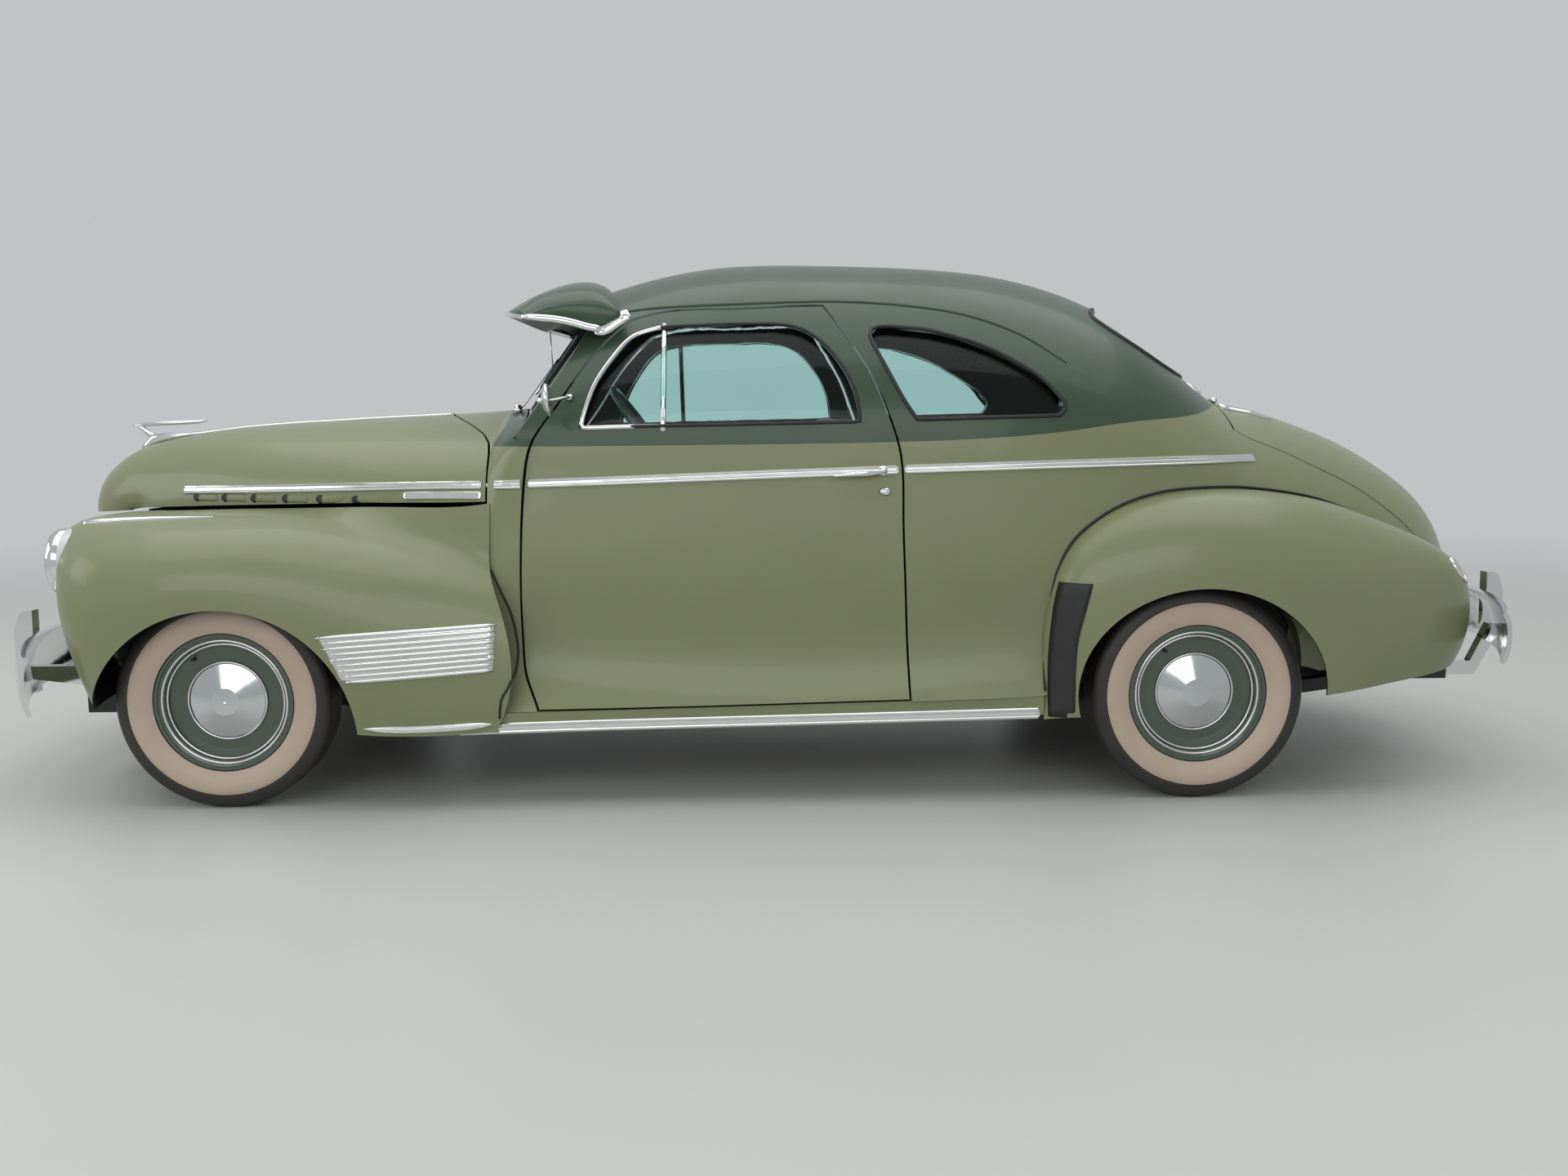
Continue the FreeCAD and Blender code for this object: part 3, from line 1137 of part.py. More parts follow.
def plan_arc(tip_x, end_x, half_y, depth, low, high):
    """Upright strip along an arc in plan, bowed towards the nose."""
    front = Part.Arc(Vector(end_x, -half_y, low), Vector(tip_x, 0, low), Vector(end_x, half_y, low)).toShape()
    back = Part.Arc(
        Vector(end_x + depth, half_y, low), Vector(tip_x + depth, 0, low), Vector(end_x + depth, -half_y, low)
    ).toShape()
    ends = [
        line(Vector(end_x, half_y, low), Vector(end_x + depth, half_y, low)),
        line(Vector(end_x + depth, -half_y, low), Vector(end_x, -half_y, low)),
    ]
    face = Part.Face(Part.Wire([front, ends[0], back, ends[1]]))
    return right_way_out(face.extrude(Vector(0, 0, high - low)))


bars = []
for z_share in GRILLE_BAR_SHARES:
    set_back = GRILLE_LEAN * (up(GRILLE_BAR_SHARES[-1]) - up(z_share))
    low = up(z_share)
    bars.append(plan_arc(
        along(GRILLE_TIP_SHARE) + set_back, along(GRILLE_END_SHARE) + set_back, out(GRILLE_HALF_SHARE),
        size.grille_bar_depth, low, low + size.grille_bar_height,
    ))
posts = []
for y in (-out(GRILLE_POST_SHARE), 0, out(GRILLE_POST_SHARE)):
    drop = GRILLE_LEAN * (up(GRILLE_BAR_SHARES[-1]) - up(GRILLE_BAR_SHARES[0]))
    x = along(GRILLE_TIP_SHARE) + size.grille_bar_depth + (y / out(GRILLE_HALF_SHARE)) ** 2 * (
        along(GRILLE_END_SHARE) - along(GRILLE_TIP_SHARE))
    low, high = up(GRILLE_BAR_SHARES[0]), up(GRILLE_BAR_SHARES[-1]) + size.grille_bar_height
    half = size.grille_bar_height / 2
    posts.append(prism(
        [Vector(x + drop - size.grille_bar_depth / 2, y - half, low), Vector(x + drop + half, y - half, low),
         Vector(x + half, y - half, high), Vector(x - size.grille_bar_depth / 2, y - half, high)],
        Vector(0, 2 * half, 0),
    ))
both_fenders = [fender_front, mirrored(fender_front)]
grille = bars[0].fuse(bars[1:] + posts).cut(both_fenders)
APRON_SHARES = ((-0.2003, 0.294), (-0.1962, 0.2619), (-0.185, 0.2292))
nose_rows = []
for step in range(-4, 5):
    part_share = step / 4
    y = part_share * out(APRON_HALF_SHARE)
    sweep = part_share ** 2 * (along(APRON_SWEEP_SHARE) - along(0))
    nose_rows.append([Vector(along(x) + sweep, y, up(z)) for x, z in APRON_SHARES])
nose_panel = band(nose_rows, inner_rows(nose_rows, [size.panel_wall] * 3, -1)).cut(both_fenders + [frame])
lip_plate = plan_arc(
    along(LIP_TIP_SHARE), along(LIP_END_SHARE), out(LIP_HALF_SHARE), along(APRON_SWEEP_SHARE) - along(0),
    up(LIP_SHARE), up(LIP_SHARE) + size.panel_wall,
).cut(both_fenders)

# Bumpers: a pressed blade bowed in plan, two guards and two brackets to the frame
BUMPER_BOW_POWER = 2.2
FRONT_BLADE_SHARES = (
    (-0.2709, 0.1786), (-0.2756, 0.1994), (-0.2773, 0.231), (-0.2756, 0.2625), (-0.2709, 0.2827),
)
REAR_BLADE_SHARES = (
    (1.3917, 0.3393), (1.3968, 0.3214), (1.3985, 0.2917), (1.3968, 0.2619), (1.3917, 0.244),
)
BOW_SHARES = (0.0849, -0.0798)


def blade(profile_shares, bow_share):
    rows = []
    for step in range(-8, 9):
        spread = step / 8
        swept = abs(spread) ** BUMPER_BOW_POWER * (along(bow_share) - along(0))
        rows.append([
            Vector(along(x) + swept, spread * size.bumper_half_width, up(z)) for x, z in profile_shares
        ])
    return band(rows, inner_rows(rows, [size.bumper_wall] * len(profile_shares)))


FRONT_GUARD_SHARES = (
    (-0.2648, 0.1631), (-0.2766, 0.1655), (-0.2845, 0.1905), (-0.2845, 0.2857), (-0.2783, 0.3185),
    (-0.2716, 0.3268), (-0.2634, 0.3268),
)
REAR_GUARD_SHARES = (
    (1.3849, 0.225), (1.3958, 0.2274), (1.4033, 0.25), (1.4033, 0.3393), (1.3978, 0.369), (1.3917, 0.3762),
    (1.3836, 0.3762),
)
FRONT_BRACKET_SHARES = ((-0.2614, 0.2024), (-0.2614, 0.225), (-0.1833, 0.225), (-0.1833, 0.1845))
REAR_BRACKET_SHARES = (
    (1.3238, 0.1786), (1.3578, 0.1786), (1.3802, 0.253), (1.3802, 0.2827), (1.373, 0.2798), (1.3527, 0.2054),
    (1.3238, 0.2054),
)


def bumper(blade_solid, guard_shares, bracket_shares, guard_y, rail_gap):
    half_guard = size.guard_width / 2
    guard = side_prism(side_points(guard_shares), guard_y - half_guard, guard_y + half_guard)
    outline = [(x + rail_gap * (abs(x) < size.overall_length / 2), z) for x, z in side_points(bracket_shares)]
    bracket = side_prism(
        outline, size.rail_half_track - size.bracket_width / 2, size.rail_half_track + size.bracket_width / 2
    )
    return blade_solid.fuse([guard, mirrored(guard), bracket, mirrored(bracket)])


guard_y = out(GUARD_SHARE)
bumper_front = bumper(
    blade(FRONT_BLADE_SHARES, BOW_SHARES[0]), FRONT_GUARD_SHARES, FRONT_BRACKET_SHARES, guard_y,
    -size.seat_clearance,
).cut(frame)
bumper_rear = bumper(
    blade(REAR_BLADE_SHARES, BOW_SHARES[1]), REAR_GUARD_SHARES, REAR_BRACKET_SHARES, guard_y,
    size.seat_clearance,
).cut(frame)

# Lamps
LENS_SHARES = (0.88, 0.484, 0.088, 0.72)
lens_half, lens_middle, lens_tip = [share * size.lamp_radius for share in LENS_SHARES[:3]]


def lamp_spot(back, reach):
    return lamp_centre + Vector(back, 0, reach)


lamp_outline = Part.Wire([
    Part.Arc(
        lamp_spot(0, lens_half), lamp_spot(-LENS_SHARES[3] * size.lamp_dome, lens_middle),
        lamp_spot(-size.lamp_dome, lens_tip),
    ).toShape(),
    line(lamp_spot(-size.lamp_dome, lens_tip), lamp_spot(-size.lamp_dome, 0)),
    line(lamp_spot(-size.lamp_dome, 0), lamp_spot(size.lamp_depth, 0)),
    line(lamp_spot(size.lamp_depth, 0), lamp_spot(size.lamp_depth, size.lamp_radius)),
    line(lamp_spot(size.lamp_depth, size.lamp_radius), lamp_spot(0, size.lamp_radius)),
    line(lamp_spot(0, size.lamp_radius), lamp_spot(0, lens_half)),
])
headlamp = right_way_out(Part.Face(lamp_outline).revolve(lamp_centre, Vector(1, 0, 0), 360))
TAIL_LAMP_SHARES = (1.2634, 0.7568, 0.4048)
tail_lamp_start = place(*TAIL_LAMP_SHARES)
tail_lamp_end = tail_lamp_start + Vector(size.tail_lamp_length, 0, 0)
tail_lamp = rod(tail_lamp_start, tail_lamp_end, size.tail_lamp_radius).fuse(
    Part.makeSphere(size.tail_lamp_radius, tail_lamp_start + Vector(size.tail_lamp_length, 0, 0)))
grown_fender = fender_skin(
    inner_rows(
        fender_rows(REAR_FENDER_SHARES), [-size.seat_clearance] * len(REAR_FENDER_SHARES[0]), -1, False,
    ), -1
)
tail_lamp = max(tail_lamp.cut([grown_fender, fender_rear]).Solids, key=lambda part: part.BoundBox.XMax)

# Sun visor over the windshield, its rear edge on the roof
VISOR_SHARES = (
    (0.0, ((0.2624, 0.9048), (0.297, 0.9393), (0.3323, 0.9607), (0.3547, 0.9667), (0.3768, 0.9548))),
    (0.2703, ((0.2682, 0.9), (0.3021, 0.9339), (0.3367, 0.9548), (0.3605, 0.9595), (0.3836, 0.9464))),
    (0.4541, ((0.2811, 0.8911), (0.314, 0.925), (0.3462, 0.9446), (0.37, 0.9476), (0.3921, 0.9315))),
    (0.5622, ((0.2926, 0.8827), (0.3252, 0.9149), (0.3551, 0.9321), (0.3775, 0.9321), (0.3988, 0.9137))),
    (0.6486, ((0.3072, 0.8613), (0.3388, 0.8911), (0.3673, 0.9048), (0.3876, 0.9018), (0.4073, 0.881))),
)
visor_rows = []
for y_share, spots in VISOR_SHARES:
    visor_rows.append([Vector(along(x), out(y_share), up(z)) for x, z in spots])
visor_rows = [[Vector(spot.x, -spot.y, spot.z) for spot in row] for row in visor_rows[:0:-1]] + visor_rows
visor_inner = [[spot - Vector(0, 0, size.visor_wall) for spot in row] for row in visor_rows]
visor = band(visor_rows, visor_inner).cut([body_hull, cowl_hull])
visor = min(visor.Solids, key=lambda part: part.BoundBox.XMin)

# Ornament on the hood
ORNAMENT_SHARES = (
    (-0.1908, 0.6821), (-0.1697, 0.694), (-0.1358, 0.7006), (-0.1018, 0.6964), (-0.0798, 0.6714),
    (-0.1018, 0.619), (-0.1426, 0.619), (-0.1494, 0.6667), (-0.1765, 0.6738),
)
hood_hull = full(inner_rows(HOOD_ROWS, [-size.seat_clearance] * len(HOOD_ROWS[0])))
ornament = side_prism(side_points(ORNAMENT_SHARES), -size.ornament_width / 2, size.ornament_width / 2)
ornament = max(ornament.cut(hood_hull).Solids, key=lambda part: part.BoundBox.ZMax)

# Controls and seats
wheel_spot = place(STEERING_SHARES[0], 0, STEERING_SHARES[1]) + Vector(0, -size.steering_wheel_offset, 0)
COLUMN_FOOT_SHARES = (0.2417, 0.4119)
column_foot = place(COLUMN_FOOT_SHARES[0], 0, COLUMN_FOOT_SHARES[1])
column_foot = column_foot + Vector(0, -size.steering_wheel_offset, 0)
column_line = wheel_spot - column_foot
column_line.normalize()
hub_half = size.steering_hub_radius / 2
column = rod(column_foot, wheel_spot - column_line * (hub_half + size.seat_clearance), size.column_radius)
column = max(column.cut(cowl).Solids, key=lambda part: part.Volume)
hub_reach = column_line * hub_half
steering_wheel = Part.makeTorus(
    size.steering_wheel_radius, size.steering_rim_radius, wheel_spot, column_line
).fuse(rod(wheel_spot - hub_reach, wheel_spot + hub_reach, size.steering_hub_radius))
across = Vector(0, 1, 0)
down = column_line.cross(across)
for turn in (90, 210, 330):
    angle = math.radians(turn)
    tip = wheel_spot + (across * math.cos(angle) + down * math.sin(angle)) * size.steering_wheel_radius
    steering_wheel = steering_wheel.fuse(rod(wheel_spot, tip, size.steering_spoke_radius))

dash_corner = Vector(along(DASH_FRONT_SHARE), -WIDE, up(DASH_FOOT_SHARE))
dash_end = Vector(dash_corner.x + size.dash_depth, WIDE, dash_corner.z + size.dash_height)
dashboard = span_block(dash_corner, dash_end)
dashboard = dashboard.common(cowl_space).cut(rod(
    column_foot, wheel_spot, size.column_radius + size.seat_clearance
)).cut([door_hole, mirrored(door_hole), roof])

SEAT_SHARES = (0.4515, 0.611, 0.6551, 0.3333, 0.7024, 0.723, 0.8639, 0.631, 0.0407)


def cushion(front, width, depth, low, height):
    solid = span_block(Vector(front, -width / 2, low), Vector(front + depth, width / 2, low + height))
    return solid.makeFillet(size.seat_round, solid.Edges)


def back_rest(front, width, wall, low, high, lean):
    points = [(front, low), (front + wall, low), (front + wall + lean, high), (front + lean, high)]
    solid = side_prism(points, -width / 2, width / 2)
    return solid.makeFillet(size.seat_round, solid.Edges)


seat_low = floor_high + size.seat_clearance
seat_front_x = along(SEAT_SHARES[0])
front_cushion = cushion(seat_front_x, size.seat_width, size.seat_depth, seat_low, size.seat_height)
lean = along(SEAT_SHARES[8]) - along(0)
front_back = back_rest(
    seat_front_x + size.seat_depth - size.seat_back_wall, size.seat_width, size.seat_back_wall,
    seat_low + size.seat_height + size.seat_clearance, up(SEAT_SHARES[4]), lean,
)
rear_x = riser_x - size.floor_wall - size.seat_clearance
rear_cushion = cushion(
    rear_x - size.rear_seat_depth, size.rear_seat_width, size.rear_seat_depth, seat_low, size.rear_seat_height
)
rear_back = back_rest(
    rear_x - size.rear_back_wall, size.rear_seat_width, size.rear_back_wall,
    seat_low + size.rear_seat_height + size.seat_clearance, up(SEAT_SHARES[7]), lean / 3,
)

# Wheels, tyres and steering knuckles
TYRE_SHARES = (
    (0.381, 0.643), (0.5, 0.79), (0.4625, 0.938), (0.3625, 1.0),
    (-0.3625, 1.0), (-0.4625, 0.938), (-0.5, 0.79), (-0.381, 0.643),
)
WHEEL_SHARES = (
    (1.0, 1.0), (0.887, 1.0), (0.855, 0.913), (0.323, 0.894), (0.161, 0.808), (-0.323, 0.808),
    (-0.484, 0.894), (-0.855, 0.913), (-0.887, 1.0), (-1.0, 1.0), (-1.0, 0.9615), (-0.935, 0.88),
    (-0.532, 0.861), (-0.371, 0.774), (0.129, 0.774), (0.194, 0.721), (0.226, 0.567), (0.129, 0.317),
    (-0.113, 0.317), (-0.113, 0.673), (-1.0, 0.673), (-1.0, 0.639), (-0.226, 0.639), (-0.226, 0.183),
    (-0.645, 0.183), (-0.645, 0.0832), (-0.065, 0.0832), (-0.065, 0.0), (0.871, 0.0), (0.84, 0.2),
    (0.613, 0.385), (0.419, 0.5385), (0.355, 0.567), (0.323, 0.721), (0.419, 0.841), (0.806, 0.88),
    (0.903, 0.952), (1.0, 0.9615),
)
WHEEL_CENTRES = (
    ("front_left", FRONT_X, "0 - 0.5 * front_track", -90), ("front_right", FRONT_X, "0.5 * front_track", 90),
    ("rear_left", REAR_X, "0 - 0.5 * rear_track", -90), ("rear_right", REAR_X, "0.5 * rear_track", 90),
)


def turned(label, shares, width, radius, spot, turn):
    """PartDesign body turned about its X axis, which points out of the car."""
    body = doc.addObject("PartDesign::Body", label)
    sketch = doc.addObject("Sketcher::SketchObject", label + "_profile")
    body.addObject(sketch)
    width_now, radius_now = getattr(size, width), getattr(size, radius)
    corners = [Vector(u * width_now, r * radius_now, 0) for u, r in shares]
    count = len(corners)
    for k, corner in enumerate(corners):
        sketch.addGeometry(Part.LineSegment(corner, corners[(k + 1) % count]))
    for k, (u, r) in enumerate(shares):
        sketch.addConstraint(Sketcher.Constraint("Coincident", k, 2, (k + 1) % count, 1))
        lengths = (("DistanceX", u, width, width_now), ("DistanceY", r, radius, radius_now))
        for kind, share, cell, now in lengths:
            mark = sketch.addConstraint(Sketcher.Constraint(kind, -1, 1, k, 1, share * now))
            sketch.setExpression(f"Constraints[{mark}]", f"{share} * sizes.{cell}")
    revolution = doc.addObject("PartDesign::Revolution", label + "_turned")
    body.addObject(revolution)
    revolution.Profile = sketch
    revolution.ReferenceAxis = (sketch, ["H_Axis"])
    body.Placement = Placement(Vector(), Rotation(Vector(0, 0, 1), turn))
    for axis, text in zip("xyz", spot):
        body.setExpression(f"Placement.Base.{axis}", formula(text))
    return keep(body, label)


for corner_name, x_text, y_text, turn in WHEEL_CENTRES:
    spot = (x_text, y_text, "tyre_radius")
    turned("tyre_" + corner_name, TYRE_SHARES, "tyre_width", "tyre_radius", spot, turn)
    turned("wheel_" + corner_name, WHEEL_SHARES, "rim_half_width", "rim_radius", spot, turn)

for side, sign, turn in (("left", "0 - ", Rotation(Vector(1, 0, 0), 90)), ("right", "", ALONG_Y)):
    minus = "-" if sign else "+"
    plus = "+" if sign else "-"
    plate_text = f"{sign}0.5 * front_track {plus} drum_inset {plus} running_gap"
    arm_y = "0 - kingpin_half_track" if sign else "kingpin_half_track"
    arm_y = f"{arm_y} - 0.5 * kingpin_arm_width"
    keep(group("knuckle_" + side, [
        drum("kingpin_" + side, (FRONT_X, f"{sign}kingpin_half_track", "tyre_radius - kingpin_half_length"),
             "kingpin_radius", "2 * kingpin_half_length"),
        drum("spindle_" + side, (FRONT_X, f"{sign}kingpin_half_track", "tyre_radius"), "spindle_radius",
             "0.5 * front_track - kingpin_half_track - spindle_reach", turn),
        drum("backing_plate_" + side, (FRONT_X, f"{plate_text} {plus} backing_wall", "tyre_radius"),
             "drum_radius - backing_wall", "backing_wall", turn),
        block("steering_arm_" + side, (FRONT_X, arm_y, "tyre_radius - 0.8 * kingpin_half_length"),
              ("steering_arm_length", "kingpin_arm_width", "0.2 * kingpin_half_length")),
    ]), "knuckle_" + side)

# Pieces made from curved panels, in the order of the list in the report
keep(engine, "engine")
keep(tank, "fuel_tank")
piece("frame", frame)
piece("front_suspension", both(suspension))
piece("rear_axle", rear_axle)
piece("rear_springs", both(spring.cut(frame)))
piece("exhaust", exhaust)
piece("floor_pan", floor)
piece("wheel_houses", Part.makeCompound(tub.Solids + mirrored(tub).Solids + shelf.Solids))
piece("sills", both(sill))
piece("cowl", cowl)
piece("roof", roof)
piece("quarter_left", mirrored(quarter))
piece("quarter_right", quarter)
piece("tail_panel", tail)
piece("fender_front_left", mirrored(fender_front))
piece("fender_front_right", fender_front)
piece("fender_rear_left", mirrored(fender_rear))
piece("fender_rear_right", fender_rear)
piece("fender_aprons", both(apron))
piece("radiator", radiator)
piece("grille", grille)
piece("nose_panel", Part.makeCompound(nose_panel.Solids + lip_plate.Solids))
piece("bumper_front", bumper_front)
piece("bumper_rear", bumper_rear)
piece("headlamps", both(headlamp))
piece("tail_lamps", both(tail_lamp))
piece("window_glass", Part.makeCompound(
    pane.Solids + mirrored(pane).Solids + back_pane.Solids + quarter_glass.Solids
    + mirrored(quarter_glass).Solids
))
piece("sun_visor", visor)
piece("dashboard", dashboard)
piece("steering_column", column)
piece("seat_front", Part.makeCompound([front_cushion, front_back]))
piece("seat_rear", Part.makeCompound([rear_cushion, rear_back]))
piece("hood", hood)
piece("hood_ornament", ornament)
piece("deck_lid", deck_lid)
piece("door_left", mirrored(door))
piece("door_right", door)
piece("door_glass_left", mirrored(door_glass))
piece("door_glass_right", door_glass)
piece("steering_wheel", steering_wheel)

doc.recompute()

os.makedirs("parts", exist_ok=True)
for feature in PIECES:
    if "Invalid" in feature.State or "Error" in feature.State:
        raise RuntimeError(f"{feature.Label} did not recompute")
    if feature.Shape.isNull() or not feature.Shape.isValid():
        raise RuntimeError(f"{feature.Label} has no valid shape")
    feature.Shape.exportStep(f"parts/{feature.Label}.step")
print("pieces", len(PIECES))
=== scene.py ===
import math
import bmesh
import bpy
from mathutils import Matrix, Vector
from mathutils.bvhtree import BVHTree


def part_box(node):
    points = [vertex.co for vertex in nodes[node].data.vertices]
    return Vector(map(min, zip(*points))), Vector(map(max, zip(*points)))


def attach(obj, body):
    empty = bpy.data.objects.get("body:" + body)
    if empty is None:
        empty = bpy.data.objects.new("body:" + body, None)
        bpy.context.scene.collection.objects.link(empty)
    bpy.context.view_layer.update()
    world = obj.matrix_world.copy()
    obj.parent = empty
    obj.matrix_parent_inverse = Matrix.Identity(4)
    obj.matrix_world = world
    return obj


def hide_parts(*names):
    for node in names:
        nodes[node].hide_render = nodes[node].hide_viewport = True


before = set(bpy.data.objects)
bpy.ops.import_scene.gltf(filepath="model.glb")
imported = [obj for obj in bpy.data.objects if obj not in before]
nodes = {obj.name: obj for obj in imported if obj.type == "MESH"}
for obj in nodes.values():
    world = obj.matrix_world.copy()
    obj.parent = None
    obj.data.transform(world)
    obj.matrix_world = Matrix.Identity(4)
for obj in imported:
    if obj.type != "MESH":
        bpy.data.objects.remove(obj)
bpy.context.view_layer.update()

# Tables of places are in millimetres: behind the front axle, then above the floor
AXLE = 1.648                 # metres from the front axle to the middle of the car
LEFT, RIGHT = -1, 1
SIDES = (LEFT, RIGHT)
SIDE_NAME = {LEFT: "left", RIGHT: "right"}


def px(x_mm):
    """X in metres of a place measured in millimetres behind the front axle."""
    return x_mm / 1000 - AXLE


def sided(name, side):
    return f"{name}_{SIDE_NAME[side]}"


# The windshield's planes: x and z of their foot, and their slopes with height and with width
SCREEN_X, SCREEN_Z = px(812), 1.209
SCREEN_LEAN, SCREEN_SWEEP = 0.7536, 0.2


def on_screen(y, z):
    """Place on the front face of the windshield."""
    return Vector((SCREEN_X + SCREEN_LEAN * (z - SCREEN_Z) + SCREEN_SWEEP * abs(y), y, z))


# Camera and studio

LENS_MM, SENSOR_MM = 32.957, 36
CAMERA_PLACE = (1.5747 - AXLE, -5.1002, 1.1843)
YAW, PITCH, ROLL = -0.0268, -0.1224, -0.0063
AIR, AIR_STRENGTH = (0.86, 0.89, 0.90, 1), 0.62

scene = bpy.context.scene
forward = Vector((-math.sin(YAW) * math.cos(PITCH), math.cos(YAW) * math.cos(PITCH), math.sin(PITCH)))
level = Vector((math.cos(YAW), math.sin(YAW), 0))
upward = level.cross(forward)
right_axis = level * math.cos(ROLL) + upward * math.sin(ROLL)
up_axis = upward * math.cos(ROLL) - level * math.sin(ROLL)
camera_data = bpy.data.cameras.new("camera")
camera_data.sensor_width = SENSOR_MM
camera_data.lens = LENS_MM
camera = bpy.data.objects.new("camera", camera_data)
camera_turn = Matrix((right_axis, up_axis, -forward)).transposed()
camera.matrix_world = Matrix.Translation(CAMERA_PLACE) @ camera_turn.to_4x4()
scene.collection.objects.link(camera)
scene.camera = camera
scene.view_settings.view_transform = "Standard"

world = bpy.data.worlds.new("studio")
world.use_nodes = True
world.node_tree.nodes["Background"].inputs["Color"].default_value = AIR
world.node_tree.nodes["Background"].inputs["Strength"].default_value = AIR_STRENGTH
scene.world = world

# Name, place, target, width and height in metres, and power in watts
LIGHTS = (
    ("key", (0, 0, 5.6), (0, 0, 0), 9.0, 6.5, 230),
    ("front_fill", (-1.0, -7.0, 3.4), (0, 0, 0.8), 8.0, 2.4, 120),
    ("nose_fill", (-6.5, -2.0, 3.0), (-1.5, 0, 0.6), 3.0, 3.0, 60),
)
for name, place, target, width, height, power in LIGHTS:
    data = bpy.data.lights.new(name, "AREA")
    data.shape = "RECTANGLE"
    data.size, data.size_y, data.energy = width, height, power
    lamp = bpy.data.objects.new(name, data)
    lamp.location = place
    lamp.rotation_euler = (Vector(target) - Vector(place)).to_track_quat("-Z", "Y").to_euler()
    scene.collection.objects.link(lamp)


# Shader nodes

def feed(tree, socket, value):
    """Set a socket to a number or a colour, or link another socket to it."""
    if isinstance(value, (int, float)):
        socket.default_value = value
    elif isinstance(value, tuple):
        socket.default_value = value + (1.0,) * (4 - len(value))
    else:
        tree.links.new(value, socket)


def add_node(tree, kind, values, **settings):
    """Node with its settings made first, then its inputs, each by name or number."""
    made = tree.nodes.new("ShaderNode" + kind)
    for key, value in settings.items():
        setattr(made, key, value)
    for slot, value in values.items():
        feed(tree, made.inputs[slot], value)
    return made


def calc(tree, kind, *values):
    return add_node(tree, "Math", dict(enumerate(values)), operation=kind).outputs[0]


def mixed(tree, share, a, b):
    return add_node(tree, "Mix", {0: share, 6: a, 7: b}, data_type="RGBA").outputs[2]


def noise(tree, place, scale, detail=3.0):
    return add_node(tree, "TexNoise", {"Scale": scale, "Detail": detail, "Vector": place}).outputs["Fac"]


def ranged(tree, value, low, high, to_low, to_high):
    values = {"Value": value, "From Min": low, "From Max": high, "To Min": to_low, "To Max": to_high}
    return add_node(tree, "MapRange", values).outputs["Result"]


def parts_of(tree, vector):
    return add_node(tree, "SeparateXYZ", {0: vector}).outputs


def bumped(tree, bsdf, height, strength, distance):
    node = add_node(tree, "Bump", {"Strength": strength, "Distance": distance, "Height": height})
    tree.links.new(node.outputs["Normal"], bsdf.inputs["Normal"])


def shaded(colour, share):
    return tuple(min(c * share, 1.0) for c in colour)


def clouded(tree, cloud, colour, spread):
    """Colour that a cloudy pattern makes a little darker and lighter."""
    return mixed(tree, cloud, shaded(colour, 1 - spread), shaded(colour, 1 + spread))


# Materials

def shader(name, metallic=0.0, coat=0.0, **sockets):
    """Principled material, its node tree and shader, and the place in object coordinates."""
    material = bpy.data.materials.new(name)
    material.use_nodes = True
    tree = material.node_tree
    bsdf = tree.nodes["Principled BSDF"]
    bsdf.inputs["Metallic"].default_value = metallic
    bsdf.inputs["Coat Weight"].default_value = coat
    bsdf.inputs["Coat Roughness"].default_value = 0.06
    for key, value in sockets.items():
        bsdf.inputs[key.replace("_", " ")].default_value = value
    return material, tree, bsdf, tree.nodes.new("ShaderNodeTexCoord").outputs["Object"]


def varied(tree, bsdf, place, colour, roughness, spread, scale):
    """Colour and roughness with faint cloudy variation."""
    cloud = noise(tree, place, scale)
    feed(tree, bsdf.inputs["Base Color"], clouded(tree, cloud, colour, spread))
    feed(tree, bsdf.inputs["Roughness"], ranged(tree, cloud, 0.3, 0.7, roughness * 0.85, roughness * 1.15))


LOWER = (0.197, 0.214, 0.114)
UPPER = (0.036, 0.064, 0.038)
WHEEL_GREEN = (0.060, 0.086, 0.060)
WHEEL_INSIDE = (0.03, 0.035, 0.03)
HUBCAP = (0.56, 0.58, 0.60)
LINING = (0.075, 0.066, 0.055)
UNDERSEAL = (0.018, 0.018, 0.017)
CREAM = ((0.455, 0.365, 0.280), (0.500, 0.412, 0.325))
TYRE_BLACK = ((0.016, 0.015, 0.014), (0.034, 0.030, 0.026))
GLOSS = {"coat": 0.16, "Specular_IOR_Level": 0.36}


def plain(name, colour, roughness, metallic=0.0, spread=0.05, scale=6.0, grain=None, **sockets):
    """Material of one colour; grain is the scale, strength and depth in metres of its bumps."""
    material, tree, bsdf, place = shader(name, metallic, **sockets)
    varied(tree, bsdf, place, colour, roughness, spread, scale)
    if grain:
        size, strength, depth = grain
        bumped(tree, bsdf, noise(tree, place, size, 4.0), strength, depth)
    return material


# Height in metres of the line between the two colours, at millimetres behind the front axle
LINE_START, LINE_END, LINE_BASE = 800, 3200, 1.0
COLOUR_LINE = ((800, 1.083), (1500, 1.086), (2040, 1.091), (2288, 1.099), (2536, 1.117), (2735, 1.143),
               (3019, 1.173), (3200, 1.235))
UPPER_AHEAD = 0.045          # how far the upper colour runs on in front of the windshield's plane


